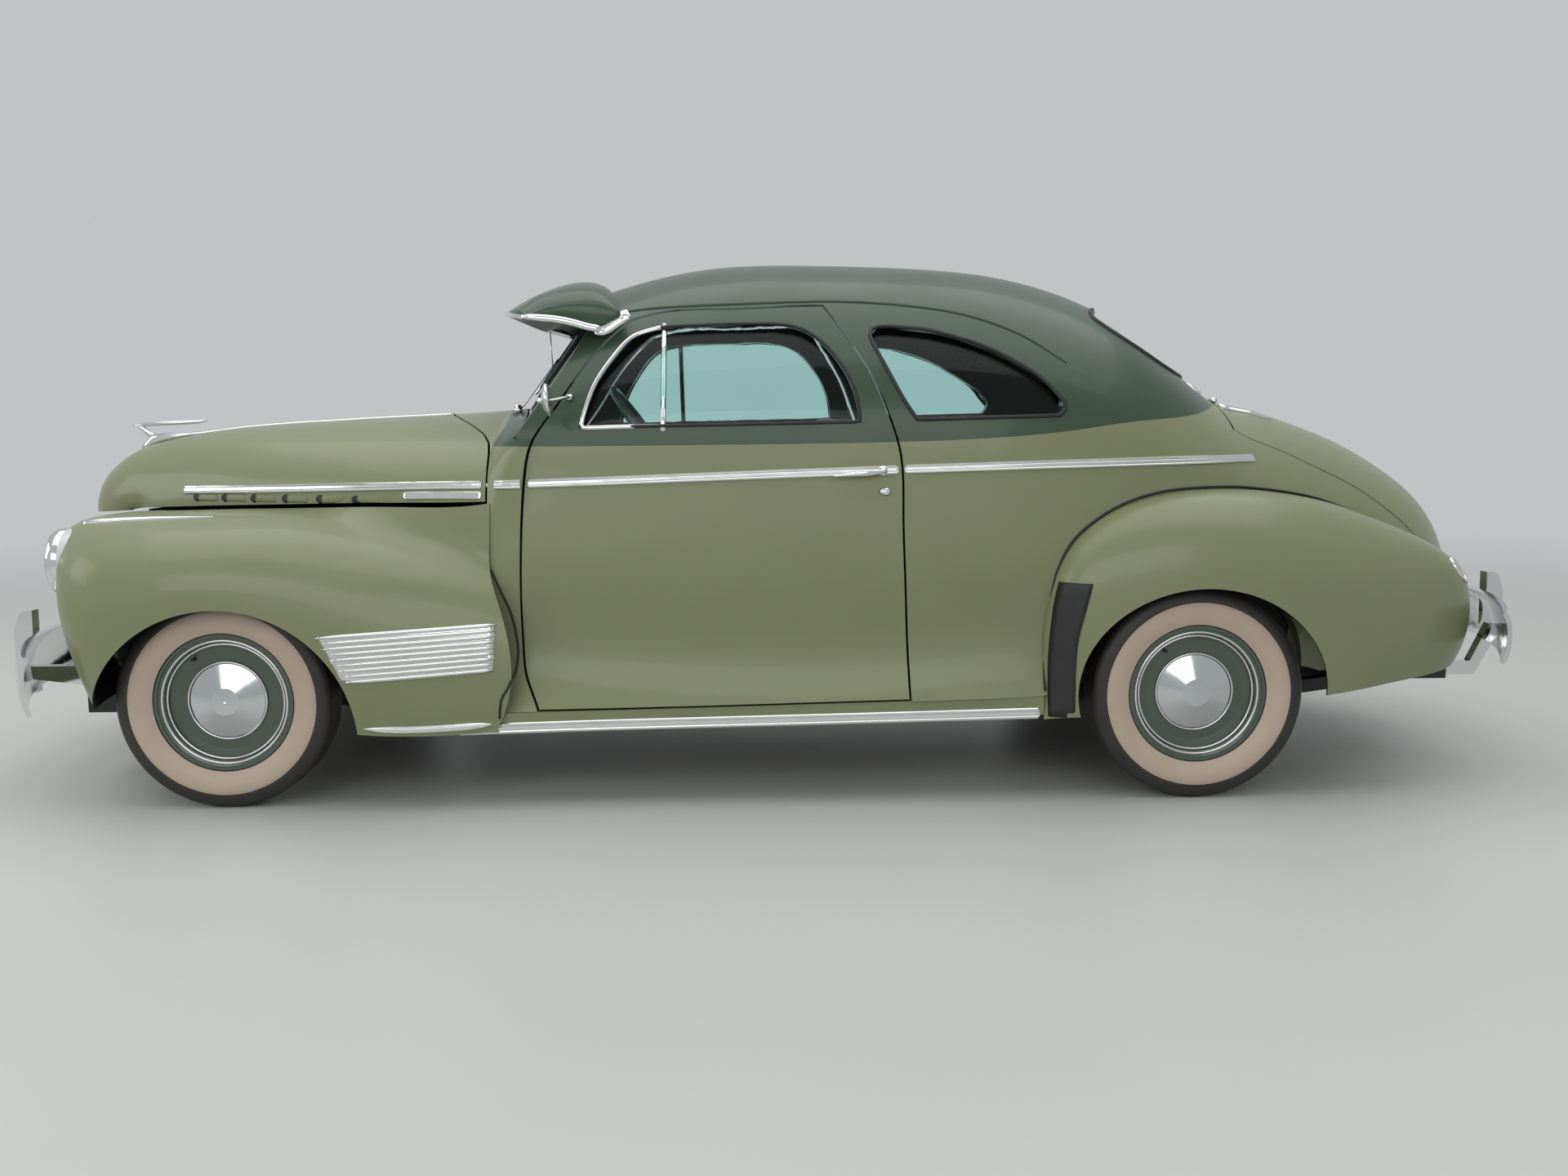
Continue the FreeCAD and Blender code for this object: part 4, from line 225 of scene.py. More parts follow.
def upper_mask(tree, x, y, z):
    """One where the upper colour lies: above the line and behind the windshield's plane."""
    curve = tree.nodes.new("ShaderNodeFloatCurve")
    feed(tree, curve.inputs["Value"], ranged(tree, x, px(LINE_START), px(LINE_END), 0.0, 1.0))
    table = curve.mapping.curves[0].points
    for k, (spot, height) in enumerate(COLOUR_LINE):
        where = ((spot - LINE_START) / (LINE_END - LINE_START), height - LINE_BASE)
        if k < 2:
            table[k].location = where
        else:
            table.new(*where)
    curve.mapping.update()
    above = calc(tree, "GREATER_THAN", z, calc(tree, "ADD", curve.outputs["Value"], LINE_BASE))
    start = SCREEN_X - UPPER_AHEAD - SCREEN_LEAN * SCREEN_Z
    edge = calc(tree, "MULTIPLY_ADD", z, SCREEN_LEAN, start)
    edge = calc(tree, "MULTIPLY_ADD", calc(tree, "ABSOLUTE", y), SCREEN_SWEEP, edge)
    return calc(tree, "MULTIPLY", above, calc(tree, "GREATER_THAN", x, edge))


def body_paint(name, inner, centre=(0.0, 0.0, 0.85), axes=(1, 2), both_colours=True):
    """Gloss paint, with the lining or the underseal on faces that look towards a centre."""
    material, tree, bsdf, place = shader(name, **GLOSS)
    spot = parts_of(tree, place)
    cloud = noise(tree, place, 5.0)
    outer = clouded(tree, cloud, LOWER, 0.03)
    if both_colours:
        outer = mixed(tree, upper_mask(tree, *spot), outer, clouded(tree, cloud, UPPER, 0.05))
    normal = parts_of(tree, tree.nodes.new("ShaderNodeNewGeometry").outputs["Normal"])
    facing = 0.0
    for k in axes:
        away = calc(tree, "SUBTRACT", spot[k], centre[k])
        facing = calc(tree, "MULTIPLY_ADD", normal[k], away, facing)
    outward = calc(tree, "GREATER_THAN", facing, 0.0)
    feed(tree, bsdf.inputs["Base Color"], mixed(tree, outward, inner, outer))
    feed(tree, bsdf.inputs["Roughness"], ranged(tree, cloud, 0.3, 0.7, 0.30, 0.38))
    bumped(tree, bsdf, noise(tree, place, 900.0, 2.0), 0.05, 0.0004)
    return material


chrome = plain("chrome", (0.72, 0.73, 0.74), 0.10, 1.0, 0.04, 9.0)
stainless = plain("stainless", (0.70, 0.70, 0.69), 0.2, 1.0, 0.05, 14.0)
rubber = plain("black_rubber", (0.012, 0.012, 0.012), 0.55, 0.0, 0.15, 20.0, (600.0, 0.2, 0.0006))
chassis = plain("chassis_black", (0.020, 0.020, 0.021), 0.5, 0.0, 0.2, 9.0, (220.0, 0.2, 0.0008))
iron = plain("engine_iron", (0.10, 0.105, 0.10), 0.6, 0.3, 0.2, 15.0, (160.0, 0.3, 0.001))
steel = plain("exhaust_steel", (0.20, 0.19, 0.18), 0.45, 0.9, 0.2, 18.0, (260.0, 0.2, 0.0006))
lining = plain("lining", LINING, 0.9, 0.0, 0.12, 30.0, (1400.0, 0.4, 0.0006))
hand_grip = plain("hand_grip", (0.10, 0.10, 0.085), 0.3, 0.0, 0.08, 14.0, coat=0.3)
dark_green = plain("upper_paint", UPPER, 0.34, 0.0, 0.04, **GLOSS)
pale_green = plain("lower_paint", LOWER, 0.34, 0.0, 0.03, **GLOSS)
glass = plain("tinted_glass", (0.72, 0.93, 0.90), 0.015, 0.0, 0.01, Transmission_Weight=1.0, IOR=1.2)
lens_glass = plain("lamp_glass", (0.86, 0.90, 0.90), 0.06, 0.0, 0.02, 30.0, Transmission_Weight=0.35,
                   IOR=1.45)
red_glass = plain("red_glass", (0.45, 0.02, 0.015), 0.12, coat=0.5)
wall = body_paint("body_two_colours", LINING)
hood_paint = body_paint("hood_paint", UNDERSEAL, centre=(0, 0, 0.6), both_colours=False)
tail_wall = body_paint("tail_two_colours", LINING, (px(2900), 0.0, 0.5), (1, 2, 0))
dash_paint = body_paint("dash_paint", UPPER, both_colours=False)


def dressed(target, material):
    target.data.materials.clear()
    target.data.materials.append(material)


for material, names in (
    (chassis, "frame front_suspension rear_axle rear_springs fuel_tank floor_pan wheel_houses fender_aprons"
              " radiator knuckle_left knuckle_right"),
    (iron, "engine"), (steel, "exhaust"), (chrome, "grille bumper_front bumper_rear hood_ornament"),
    (glass, "window_glass door_glass_left door_glass_right"), (lens_glass, "headlamps"),
    (red_glass, "tail_lamps"), (lining, "seat_front seat_rear"),
    (hand_grip, "steering_wheel steering_column"),
    (dark_green, "sun_visor"), (pale_green, "sills nose_panel"), (hood_paint, "hood"),
    (wall, "cowl quarter_left quarter_right door_left door_right roof"),
    (tail_wall, "tail_panel deck_lid"), (dash_paint, "dashboard"),
):
    for name in names.split():
        dressed(nodes[name], material)
for side in SIDES:
    for end, x, y in (("front", 330, 0.40), ("rear", 3100, 0.52)):
        centre = (px(x), side * y, 0.42)
        paint = body_paint(sided(end + "_fender_paint", side), UNDERSEAL, centre, (1, 2, 0), False)
        dressed(nodes[sided("fender_" + end, side)], paint)


# Makers of pieces

def object_of(name, bm):
    """Object at the origin from a bmesh."""
    data = bpy.data.meshes.new(name)
    bm.to_mesh(data)
    bm.free()
    made = bpy.data.objects.new(name, data)
    scene.collection.objects.link(made)
    return made


def finished(name, bm, material, body="car_body", smooth=True, stands_for=()):
    """Object from a bmesh, riding on a body."""
    bmesh.ops.recalc_face_normals(bm, faces=bm.faces[:])
    for face in bm.faces:
        face.smooth = smooth
    made = object_of(name, bm)
    made.data.materials.append(material)
    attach(made, body)
    if stands_for:
        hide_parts(*stands_for)


def tree_of(*names):
    """Search tree over the triangles of CAD nodes."""
    places, faces = [], []
    for name in names:
        start = len(places)
        data = nodes[name].data
        places += [vertex.co.copy() for vertex in data.vertices]
        faces += [tuple(start + k for k in polygon.vertices) for polygon in data.polygons]
    return BVHTree.FromPolygons(places, faces)


def cast(skin, start, way):
    """Place where a ray first meets a skin, and its normal turned towards the ray's start."""
    place, normal = skin.ray_cast(Vector(start), Vector(way))[:2]
    if place is None:
        return None
    return place, normal if normal.dot(Vector(way)) <= 0 else -normal


def from_side(skin, x, z, side):
    return cast(skin, (x, side * 1.5, z), (0, -side, 0))


def from_above(skin, x, y):
    return cast(skin, (x, y, 2.5), (0, 0, -1))


def from_front(skin, y, z):
    return cast(skin, (-4.0, y, z), (1, 0, 0))


def from_rear(skin, y, z):
    return cast(skin, (4.0, y, z), (-1, 0, 0))


def from_side_or_near(skin, x, z, side, half):
    """Hit from the side, or else the place of a skin nearest to a spot at a half width."""
    hit = from_side(skin, x, z, side)
    if hit is None:
        near, normal = skin.find_nearest(Vector((x, side * half, z)))[:2]
        hit = near, normal if normal.y * side > 0 else -normal
    return hit


def met(hits, lift=0.0):
    """Places, raised by a lift, and normals of those rays that met a skin."""
    found = [hit for hit in hits if hit]
    return [place + normal * lift for place, normal in found], [normal for _, normal in found]


def smooth_run(points, step):
    """Evenly spaced places on a Catmull-Rom line through tuples of numbers."""
    count = len(points)
    dense = []
    for k in range(count - 1):
        p0, p1, p2, p3 = (Vector(points[max(min(j, count - 1), 0)]) for j in (k - 1, k, k + 1, k + 2))
        pieces = max(int((p2 - p1).length / step * 3), 2)
        for i in range(pieces):
            t = i / pieces
            dense.append(0.5 * (2 * p1 + (p2 - p0) * t + (2 * p0 - 5 * p1 + 4 * p2 - p3) * t * t
                                + (3 * p1 - p0 - 3 * p2 + p3) * t ** 3))
    dense.append(Vector(points[-1]))
    lengths = [0.0]
    for a, b in zip(dense, dense[1:]):
        lengths.append(lengths[-1] + (b - a).length)
    wanted = max(int(round(lengths[-1] / step)), 1)
    result, k = [], 0
    for i in range(wanted + 1):
        goal = lengths[-1] * i / wanted
        while k < len(lengths) - 2 and lengths[k + 1] < goal:
            k += 1
        share = (goal - lengths[k]) / max(lengths[k + 1] - lengths[k], 1e-9)
        result.append(dense[k].lerp(dense[k + 1], min(max(share, 0.0), 1.0)))
    return result


def side_run(points, step):
    """Evenly spaced (x, z) places in metres on a line through a table of millimetres."""
    return smooth_run([(px(x), z / 1000) for x, z in points], step)


def circle(count):
    """Cosine and sine at even steps round a circle."""
    return [(math.cos(2 * math.pi * k / count), math.sin(2 * math.pi * k / count)) for k in range(count)]


def joined(bm, rings, round_again=False):
    """Walls between rings of vertices, with the ends capped or else joined to each other."""
    pairs = list(zip(rings, rings[1:])) + ([(rings[-1], rings[0])] if round_again else [])
    for one, two in pairs:
        for k in range(len(one)):
            n = (k + 1) % len(one)
            bm.faces.new((one[k], one[n], two[n], two[k]))
    if not round_again:
        bm.faces.new(rings[0])
        bm.faces.new(rings[-1][::-1])


def sheet(bm, top, bottom):
    """Closed thin sheet from two grids of vertices of one size."""
    rows, columns = len(top) - 1, len(top[0]) - 1
    for i in range(rows):
        for j in range(columns):
            bm.faces.new((top[i][j], top[i + 1][j], top[i + 1][j + 1], top[i][j + 1]))
            bm.faces.new((bottom[i][j], bottom[i][j + 1], bottom[i + 1][j + 1], bottom[i + 1][j]))
    rim = [(i, 0) for i in range(rows)] + [(rows, j) for j in range(columns)]
    rim += [(i, columns) for i in range(rows, 0, -1)] + [(0, j) for j in range(columns, 0, -1)]
    for (a, b), (c, d) in zip(rim, rim[1:] + rim[:1]):
        bm.faces.new((top[a][b], top[c][d], bottom[c][d], bottom[a][b]))


def sweep(bm, places, normals, profile, closed_path=False, scales=None):
    """Bar over places; its profile's points are (across the bar, along the normal) in metres."""
    rings = []
    count = len(places)
    for k, (place, normal) in enumerate(zip(places, normals)):
        if closed_path:
            tangent = places[(k + 1) % count] - places[k - 1]
        else:
            tangent = places[min(k + 1, count - 1)] - places[max(k - 1, 0)]
        tangent.normalize()
        lift = (normal - tangent * normal.dot(tangent)).normalized()
        cross = tangent.cross(lift)
        wide, tall = scales[k] if scales else (1.0, 1.0)
        rings.append([bm.verts.new(place + cross * (b * wide) + lift * (h * tall)) for b, h in profile])
    joined(bm, rings, closed_path)


def rod(bm, places, normal, radius, count=8):
    """Round bar through places that share one normal."""
    sweep(bm, places, [normal] * len(places), round_profile(radius, count))


def round_profile(radius, count=8, flat=1.0):
    return [(radius * c, radius * flat * s) for c, s in circle(count)]


def both_sides(half, crown=None, across=1.0, height=1.0):
    """Profile in metres, the same to both sides, from one half in millimetres, edge first."""
    half = [(b * across / 1000, h * height / 1000) for b, h in half]
    top = [(0.0, crown * height / 1000)] if crown else []
    return [(-b, h) for b, h in half] + top + half[::-1]


def tapered(count, front=0, rear=0, least=0.15):
    """Scales that narrow a strip over a number of rings at its ends."""
    scales = []
    for k in range(count):
        share = 1.0
        for rings, place in ((front, k), (rear, count - 1 - k)):
            if place < rings:
                share = min(share, least + (1 - least) * math.sin(math.pi / 2 * place / rings))
        scales.append((share, 0.4 + 0.6 * share))
    return scales


BLUNT_END = (0.55, 0.6)


def strip_on(bm, skin, points, side, profile, step=0.03, front=0, rear=0, lift=0.0):
    """Strip laid on a skin along a table of places, with tapered ends or else blunt rounded ones."""
    places, normals = met((from_side(skin, x, z, side) for x, z in side_run(points, step)), lift)
    scales = tapered(len(places), front, rear)
    if len(places) > 4 and not front + rear:
        ends = places[0].lerp(places[1], 0.2), places[-1].lerp(places[-2], 0.2)
        places = [places[0], ends[0]] + places[1:-1] + [ends[1], places[-1]]
        normals = normals[:1] + normals + normals[-1:]
        scales = [BLUNT_END] + scales + [BLUNT_END]
    sweep(bm, places, normals, profile, scales=scales)


def spun(bm, points, centre, side, count=96):
    """Closed surface of revolution about a line across the car, from (radius, distance outward)."""
    joined(bm, [[
        bm.verts.new(centre + Vector((radius * c, side * reach, radius * s))) for c, s in circle(count)
    ] for radius, reach in points], True)


def stud(bm, place, normal, radius, top, depth, low=0.0, segments=24):
    """Short cone along a normal, with its middle at a distance from a place."""
    turn = normal.to_track_quat("Z", "Y").to_matrix().to_4x4()
    return bmesh.ops.create_cone(
        bm, cap_ends=True, segments=segments, radius1=radius, radius2=top, depth=depth,
        matrix=Matrix.Translation(place + normal * low) @ turn)["verts"]


def ball(bm, place, radius, around, along):
    bmesh.ops.create_uvsphere(
        bm, u_segments=around, v_segments=along, radius=radius, matrix=Matrix.Translation(place))


def plate_on(bm, left, right, side, skin, thick, rows=24, columns=6):
    """Sheet laid on a skin between two tables of places, thinner at its edges."""
    a, b = side_run(left, 0.01), side_run(right, 0.01)
    grids = []
    for lift in (thick, -0.001):
        grid = []
        for i in range(rows + 1):
            one, two = a[round(i * (len(a) - 1) / rows)], b[round(i * (len(b) - 1) / rows)]
            row = []
            for j in range(columns + 1):
                x, z = one.lerp(two, j / columns)
                place, normal = from_side_or_near(skin, x, z, side, 0.85)
                edge = lift > 0 and (i in (0, rows) or j in (0, columns))
                row.append(bm.verts.new(place + normal * (lift * (0.5 if edge else 1.0))))
            grid.append(row)
        grids.append(grid)
    sheet(bm, *grids)


# Tyres, wheels, trim rings and valves

WHEEL_HEIGHT = 0.324
HALF_TREAD, SHOULDER, CROWN = 0.0560, 0.3222, 0.0016
RIBS, RIB_PITCH, GROOVE, GROOVE_DEPTH = 4, 0.0224, 0.0052, 0.0068
BEAD_RADIUS, INNER_HALF = 0.2083, 0.0400
WHITE_FROM, WHITE_TO = 0.2115, 0.2805
CAP_RADIUS, CAP_REACH, PAINT_REACH = 0.1165, 0.0205, 0.004
VALVE_RADIUS, VALVE_REACH, VALVE_ANGLE = 0.158, 0.030, 2.2
# Radius and distance outward, in metres
SIDEWALL = (
    (0.2083, 0.0605), (0.2125, 0.0648), (0.2185, 0.0672), (0.2240, 0.0700), (0.2330, 0.0745),
    (0.2450, 0.0785),
    (0.2560, 0.0798), (0.2680, 0.0796), (0.2790, 0.0782), (0.2805, 0.0772), (0.2820, 0.0776),
    (0.2920, 0.0758),
    (0.3020, 0.0728), (0.3090, 0.0700), (0.3150, 0.0660), (0.3195, 0.0610), (0.3222, 0.0560),
)
TRIM_RINGS = ((0.1880, 0.0522, 0.0046), (0.1760, 0.0398, 0.0042), (0.1180, 0.0270, 0.0032))


def tread_radius(reach):
    return SHOULDER + CROWN * (1 - (reach / HALF_TREAD) ** 2)


def tyre_profile():
    """Outer sidewall, grooved tread, inner sidewall and the bore."""
    points = list(SIDEWALL)
    for k in range(RIBS + 1):
        high = HALF_TREAD - k * RIB_PITCH
        if k:
            points.append((tread_radius(high), high + 0.0001))
        if k < RIBS:
            low = high - RIB_PITCH + GROOVE
            radius = tread_radius(low)
            points += [(radius, low), (radius - GROOVE_DEPTH, low - 0.0006),
                       (radius - GROOVE_DEPTH, low - 0.0044)]
    points += [(radius, -reach) for radius, reach in reversed(SIDEWALL)]
    return points + [(BEAD_RADIUS, -INNER_HALF), (BEAD_RADIUS, INNER_HALF)]


def from_hub(tree, place, centre, side):
    """Distance from a wheel's axis, and distance outward from its middle."""
    spot = parts_of(tree, place)
    x, y, z = (calc(tree, "SUBTRACT", spot[k], centre[k]) for k in range(3))
    squares = calc(tree, "MULTIPLY_ADD", x, x, calc(tree, "MULTIPLY", z, z))
    return calc(tree, "SQRT", squares), calc(tree, "MULTIPLY", y, side)


def tyre_material(name, centre, side):
    material, tree, bsdf, place = shader(name)
    reach, outward = from_hub(tree, place, centre, side)
    below, beyond = calc(tree, "LESS_THAN", reach, WHITE_TO), calc(tree, "GREATER_THAN", reach, WHITE_FROM)
    outer = calc(tree, "GREATER_THAN", outward, 0.0)
    white = calc(tree, "MULTIPLY", calc(tree, "MULTIPLY", below, beyond), outer)
    cloud = noise(tree, place, 16.0)
    colour = mixed(tree, white, mixed(tree, cloud, *TYRE_BLACK), mixed(tree, cloud, *CREAM))
    feed(tree, bsdf.inputs["Base Color"], colour)
    bumped(tree, bsdf, noise(tree, place, 500.0, 3.0), 0.15, 0.0006)
    return material


def wheel_material(name, centre, side):
    """Painted wheel with a bright hubcap in its middle and a dark inside."""
    material, tree, bsdf, place = shader(name, coat=0.5)
    reach, outward = from_hub(tree, place, centre, side)
    middle, proud = calc(tree, "LESS_THAN", reach, CAP_RADIUS), calc(tree, "GREATER_THAN", outward, CAP_REACH)
    cap = calc(tree, "MULTIPLY", middle, proud)
    green = clouded(tree, noise(tree, place, 12.0), WHEEL_GREEN, 0.06)
    painted = mixed(tree, calc(tree, "LESS_THAN", outward, PAINT_REACH), green, WHEEL_INSIDE)
    feed(tree, bsdf.inputs["Base Color"], mixed(tree, cap, painted, HUBCAP))
    feed(tree, bsdf.inputs["Metallic"], cap)
    feed(tree, bsdf.inputs["Roughness"], ranged(tree, cap, 0.0, 1.0, 0.32, 0.14))
    return material


for label, x, y, side in (("front_left", px(0), 0.746, LEFT), ("front_right", px(0), 0.746, RIGHT),
                          ("rear_left", px(2946), 0.777, LEFT), ("rear_right", px(2946), 0.777, RIGHT)):
    centre = Vector((x, side * y, WHEEL_HEIGHT))
    body = label + "_wheel"
    bm = bmesh.new()
    spun(bm, tyre_profile(), centre, side, 120)
    finished("whitewall_tyre_" + label, bm, tyre_material("tyre_" + label, centre, side), body,
             stands_for=("tyre_" + label,))
    bm = bmesh.new()
    for radius, reach, thick in TRIM_RINGS:
        spun(bm, [(radius + thick * c, reach + thick * s) for c, s in circle(8)], centre, side)
    finished("trim_rings_" + label, bm, stainless, body)
    bm = bmesh.new()
    foot = Vector((VALVE_RADIUS * math.cos(VALVE_ANGLE), side * VALVE_REACH,
                   VALVE_RADIUS * math.sin(VALVE_ANGLE)))
    stud(bm, centre + foot, Vector((0, -1, 0)), 0.005, 0.0038, 0.034, segments=16)
    finished("valve_" + label, bm, rubber, body)
    dressed(nodes["wheel_" + label], wheel_material("wheel_paint_" + label, centre, side))


# Mouldings, ribs and welting on the body

BODY_PANELS = ("cowl", "quarter_left", "quarter_right", "fender_front_left", "fender_front_right",
               "fender_rear_left", "fender_rear_right", "sills", "roof", "tail_panel")
HOOD = tree_of("hood")
DOORS = {side: tree_of(sided("door", side)) for side in SIDES}
BODY = tree_of(*BODY_PANELS)
QUARTERS = tree_of("quarter_left", "quarter_right", "cowl", "tail_panel", "roof")
FRONT_FENDERS = tree_of("fender_front_left", "fender_front_right")
REAR_FENDERS = tree_of("fender_rear_left", "fender_rear_right")
SILLS = tree_of("sills")
ROOF = tree_of("roof")
DOOR_BODY = {side: SIDE_NAME[side] + "_door" for side in SIDES}

MOULDING = ((14, -2), (14, 3), (12, 5.5), (8, 6.5), (5.5, 5), (3.5, 6.5))
BELT = (
    ("hood", [(-262, 941), (-100, 945), (150, 951), (364, 957), (560, 962), (770, 966)]),
    ("cowl", [(786, 966), (840, 968), (896, 970)]),
    ("door", [(914, 971), (1200, 981), (1539, 993), (1800, 1001), (2038, 1008)]),
    ("quarter", [(2056, 1009), (2300, 1015), (2600, 1021), (2900, 1026), (3182, 1029)]),
)
ROCKER = [(706, 241), (1100, 250), (1539, 257), (2000, 264), (2462, 272)]
FENDER_LIP = [(440, 258), (560, 252), (700, 255), (812, 262)]
RIB_PLATE = ([(318, 537), (350, 470), (382, 399)], [(826, 563), (823, 490), (820, 420)])
RIB = both_sides(((6.4, -1), (6.2, 2.5), (4, 6.2)), 8.0, 1.16)
LAST_RIB = 8
SPEAR = both_sides(((13, -2), (11, 3), (5, 9)), 11)
FENDER_BEAD = [(2479, 262), (2480, 400), (2486, 500), (2500, 600), (2524, 705), (2580, 800), (2700, 884),
               (2847, 931), (3021, 944), (3170, 937), (3365, 905), (3521, 853), (3678, 793), (3770, 735)]
COWL_BEAD = [(800, 712), (826, 655), (858, 580), (876, 500), (879, 440), (866, 378), (842, 335), (835, 277)]


def moulding(name, skin, points, side, profile, body="car_body", **ends):
    """Bright strip on a skin, as a piece of its own."""
    bm = bmesh.new()
    strip_on(bm, skin, points, side, profile, **ends)
    finished(sided(name, side), bm, stainless, body, smooth=False)


for side in SIDES:
    for label, points in BELT:
        skin, body = {"hood": (HOOD, "hood_panel"), "door": (DOORS[side], DOOR_BODY[side])}.get(
            label, (QUARTERS, "car_body"))
        moulding("belt_moulding_" + label, skin, points, side, both_sides(MOULDING), body)
    moulding("rocker_moulding", SILLS, ROCKER, side, both_sides(MOULDING, None, 1.2, 0.9))
    lip = both_sides(MOULDING, None, 0.8, 1.1)
    moulding("fender_lip_moulding", FRONT_FENDERS, FENDER_LIP, side, lip, front=3, rear=2)
    # speed ribs behind the front wheel, on one plate, every other one starting further back
    bm = bmesh.new()
    plate_on(bm, *RIB_PLATE, side, FRONT_FENDERS, 0.0012, 16, 26)
    for k in range(LAST_RIB + 1):
        share = k / LAST_RIB
        front_x, rear_x = 304 + 82 * share + (9 if k % 2 else 0), 831 - 5 * share
        front_z, rear_z = 533 - 133 * share, 557 - 131 * share
        points = [(front_x, front_z), ((front_x + rear_x) / 2, (front_z + rear_z) / 2), (rear_x, rear_z)]
        strip_on(bm, FRONT_FENDERS, points, side, RIB, front=3, rear=1)
    finished(sided("speed_ribs", side), bm, stainless)
    # spear on the crown of the front fender
    bm = bmesh.new()
    places, normals = met(
        from_above(FRONT_FENDERS, px(x), side * (655 - 0.02 * (x + 452)) / 1000)
        for x in range(-452, -55, 14))
    shares = [k / (len(places) - 1) for k in range(len(places))]
    sweep(bm, places, normals, SPEAR, scales=[
        (max(1.0 - share ** 1.5, 0.12), max(1.0 - 0.85 * share, 0.15)) for share in shares])
    finished(sided("fender_spear", side), bm, chrome)
    # welting between fenders and body
    bm = bmesh.new()
    strip_on(bm, QUARTERS, FENDER_BEAD, side, round_profile(0.0042), step=0.025, lift=0.002)
    strip_on(bm, BODY, COWL_BEAD, side, round_profile(0.0038), step=0.012, lift=0.001)
    finished(sided("welting", side), bm, rubber)


# Stone guards on the rear fenders

GUARD = ([(2522, 668), (2506, 600), (2494, 500), (2488, 400), (2487, 262)],
         [(2611, 668), (2592, 592), (2570, 500), (2563, 400), (2563, 262)])
for side in SIDES:
    bm = bmesh.new()
    plate_on(bm, *GUARD, side, REAR_FENDERS, 0.004)
    finished(sided("stone_guard", side), bm, rubber)


# Window surrounds and the bright frames of the vent panes

DOOR_WINDOW = [(1080, 1144), (1115, 1255), (1172, 1345), (1232, 1411), (1313, 1439), (1430, 1446),
               (1550, 1449), (1700, 1446), (1785, 1414), (1855, 1343), (1903, 1253), (1920, 1156)]
QUARTER_WINDOW = [(2098, 1163), (2060, 1222), (2010, 1320), (1968, 1412), (1990, 1437), (2070, 1434),
                  (2162, 1422), (2316, 1373), (2463, 1290), (2546, 1205), (2530, 1172)]
VENT_FRAME = [(1330, 1143), (1200, 1141), (1096, 1139), (1083, 1150), (1118, 1262), (1175, 1352),
              (1234, 1416), (1320, 1444)]
VENT_POST_X, VENT_POST_Z = 1330, (1.128, 1.456)
FRAME_BAR = both_sides(((7, -6), (7, 3), (4, 6)))
POST_BAR = both_sides(((8, -16), (8, 2), (5, 5)))


def outline(points, grow):
    """Closed outline moved outward, in metres, as evenly spaced places."""
    loop = side_run(points, 0.02)
    loop += smooth_run([loop[-1], loop[0]], 0.02)[1:-1]
    area = sum(a.x * b.y - b.x * a.y for a, b in zip(loop, loop[1:] + loop[:1]))
    sign = 1 if area > 0 else -1
    moved = []
    for k, spot in enumerate(loop):
        along = (loop[(k + 1) % len(loop)] - loop[k - 1]).normalized()
        moved.append(spot + Vector((along.y, -along.x)) * (sign * grow))
    return moved


def gasket(name, points, side, skin, body, radius, grow):
    bm = bmesh.new()
    places, normals = met(from_side(skin, x, z, side) for x, z in outline(points, grow))
    sweep(bm, places, normals, round_profile(radius), closed_path=True)
    finished(sided(name, side), bm, rubber, body)


for side in SIDES:
    skin = DOORS[side]
    gasket("door_window_gasket", DOOR_WINDOW, side, skin, DOOR_BODY[side], 0.0055, 0.004)
    gasket("quarter_window_gasket", QUARTER_WINDOW, side, QUARTERS, "car_body", 0.0065, 0.005)
    bm = bmesh.new()
    places = []
    for x, z in side_run(VENT_FRAME, 0.02):
        near = skin.find_nearest(Vector((x, side * (0.74 - 0.35 * (z - 1.14)), z)))[0]
        places.append(Vector((x, near.y, z)))
    sweep(bm, places, [Vector((0, side, 0.25)).normalized()] * len(places), FRAME_BAR)
    low, high = (from_side(skin, px(VENT_POST_X), z, side)[0] for z in VENT_POST_Z)
    post = [low.lerp(high, k / 8) for k in range(9)]
    sweep(bm, post, [Vector((0, side, 0.3)).normalized()] * len(post), POST_BAR)
    finished(sided("vent_frame", side), bm, stainless, DOOR_BODY[side])


# Hood: centre strip, louvres with painted shade in their slots, and the bare strip behind them

LOUVRES = (-218, -112, -6, 106, 226, 348)
CENTRE_STRIP = both_sides(((8, -2), (8, 1.5), (5, 4)), 6)
SIDE_PLATE = both_sides(((12, -2), (12, 2), (10, 3.5)))


def louvre_sheet(bm, x0, x1, z_mid, z_half, height, side, scoop):
    """Thin sheet on the hood's side: a black sheet of painted shade that stands for a louvre's dark slot and
    widens rearward, or a scoop that fades out.
    """
    top, bottom = [], []
    for i in range(7):
        share = i / 6
        flare = 1.0 if scoop else 0.4 + 0.6 * min(share * 2, 1)
        top.append([])
        bottom.append([])
        for j in range(5):
            z = (z_mid + z_half * (j / 2 - 1) * flare) / 1000
            place, normal = from_side_or_near(HOOD, px(x0 + (x1 - x0) * share), z, side, 0.62)
            rise = height * ((1 - share) * math.sin(math.pi * (j + 0.5) / 5) if scoop else 1.0)
            top[-1].append(bm.verts.new(place + normal * (rise + 0.0004)))
            bottom[-1].append(bm.verts.new(place - normal * 0.002))
    sheet(bm, top, bottom)


bm = bmesh.new()
places, normals = met(from_above(HOOD, px(x), 0.0) for x in range(-300, 572, 20))
sweep(bm, places, normals, CENTRE_STRIP, scales=tapered(len(places), 0, 3))
finished("hood_centre_strip", bm, stainless, "hood_panel")

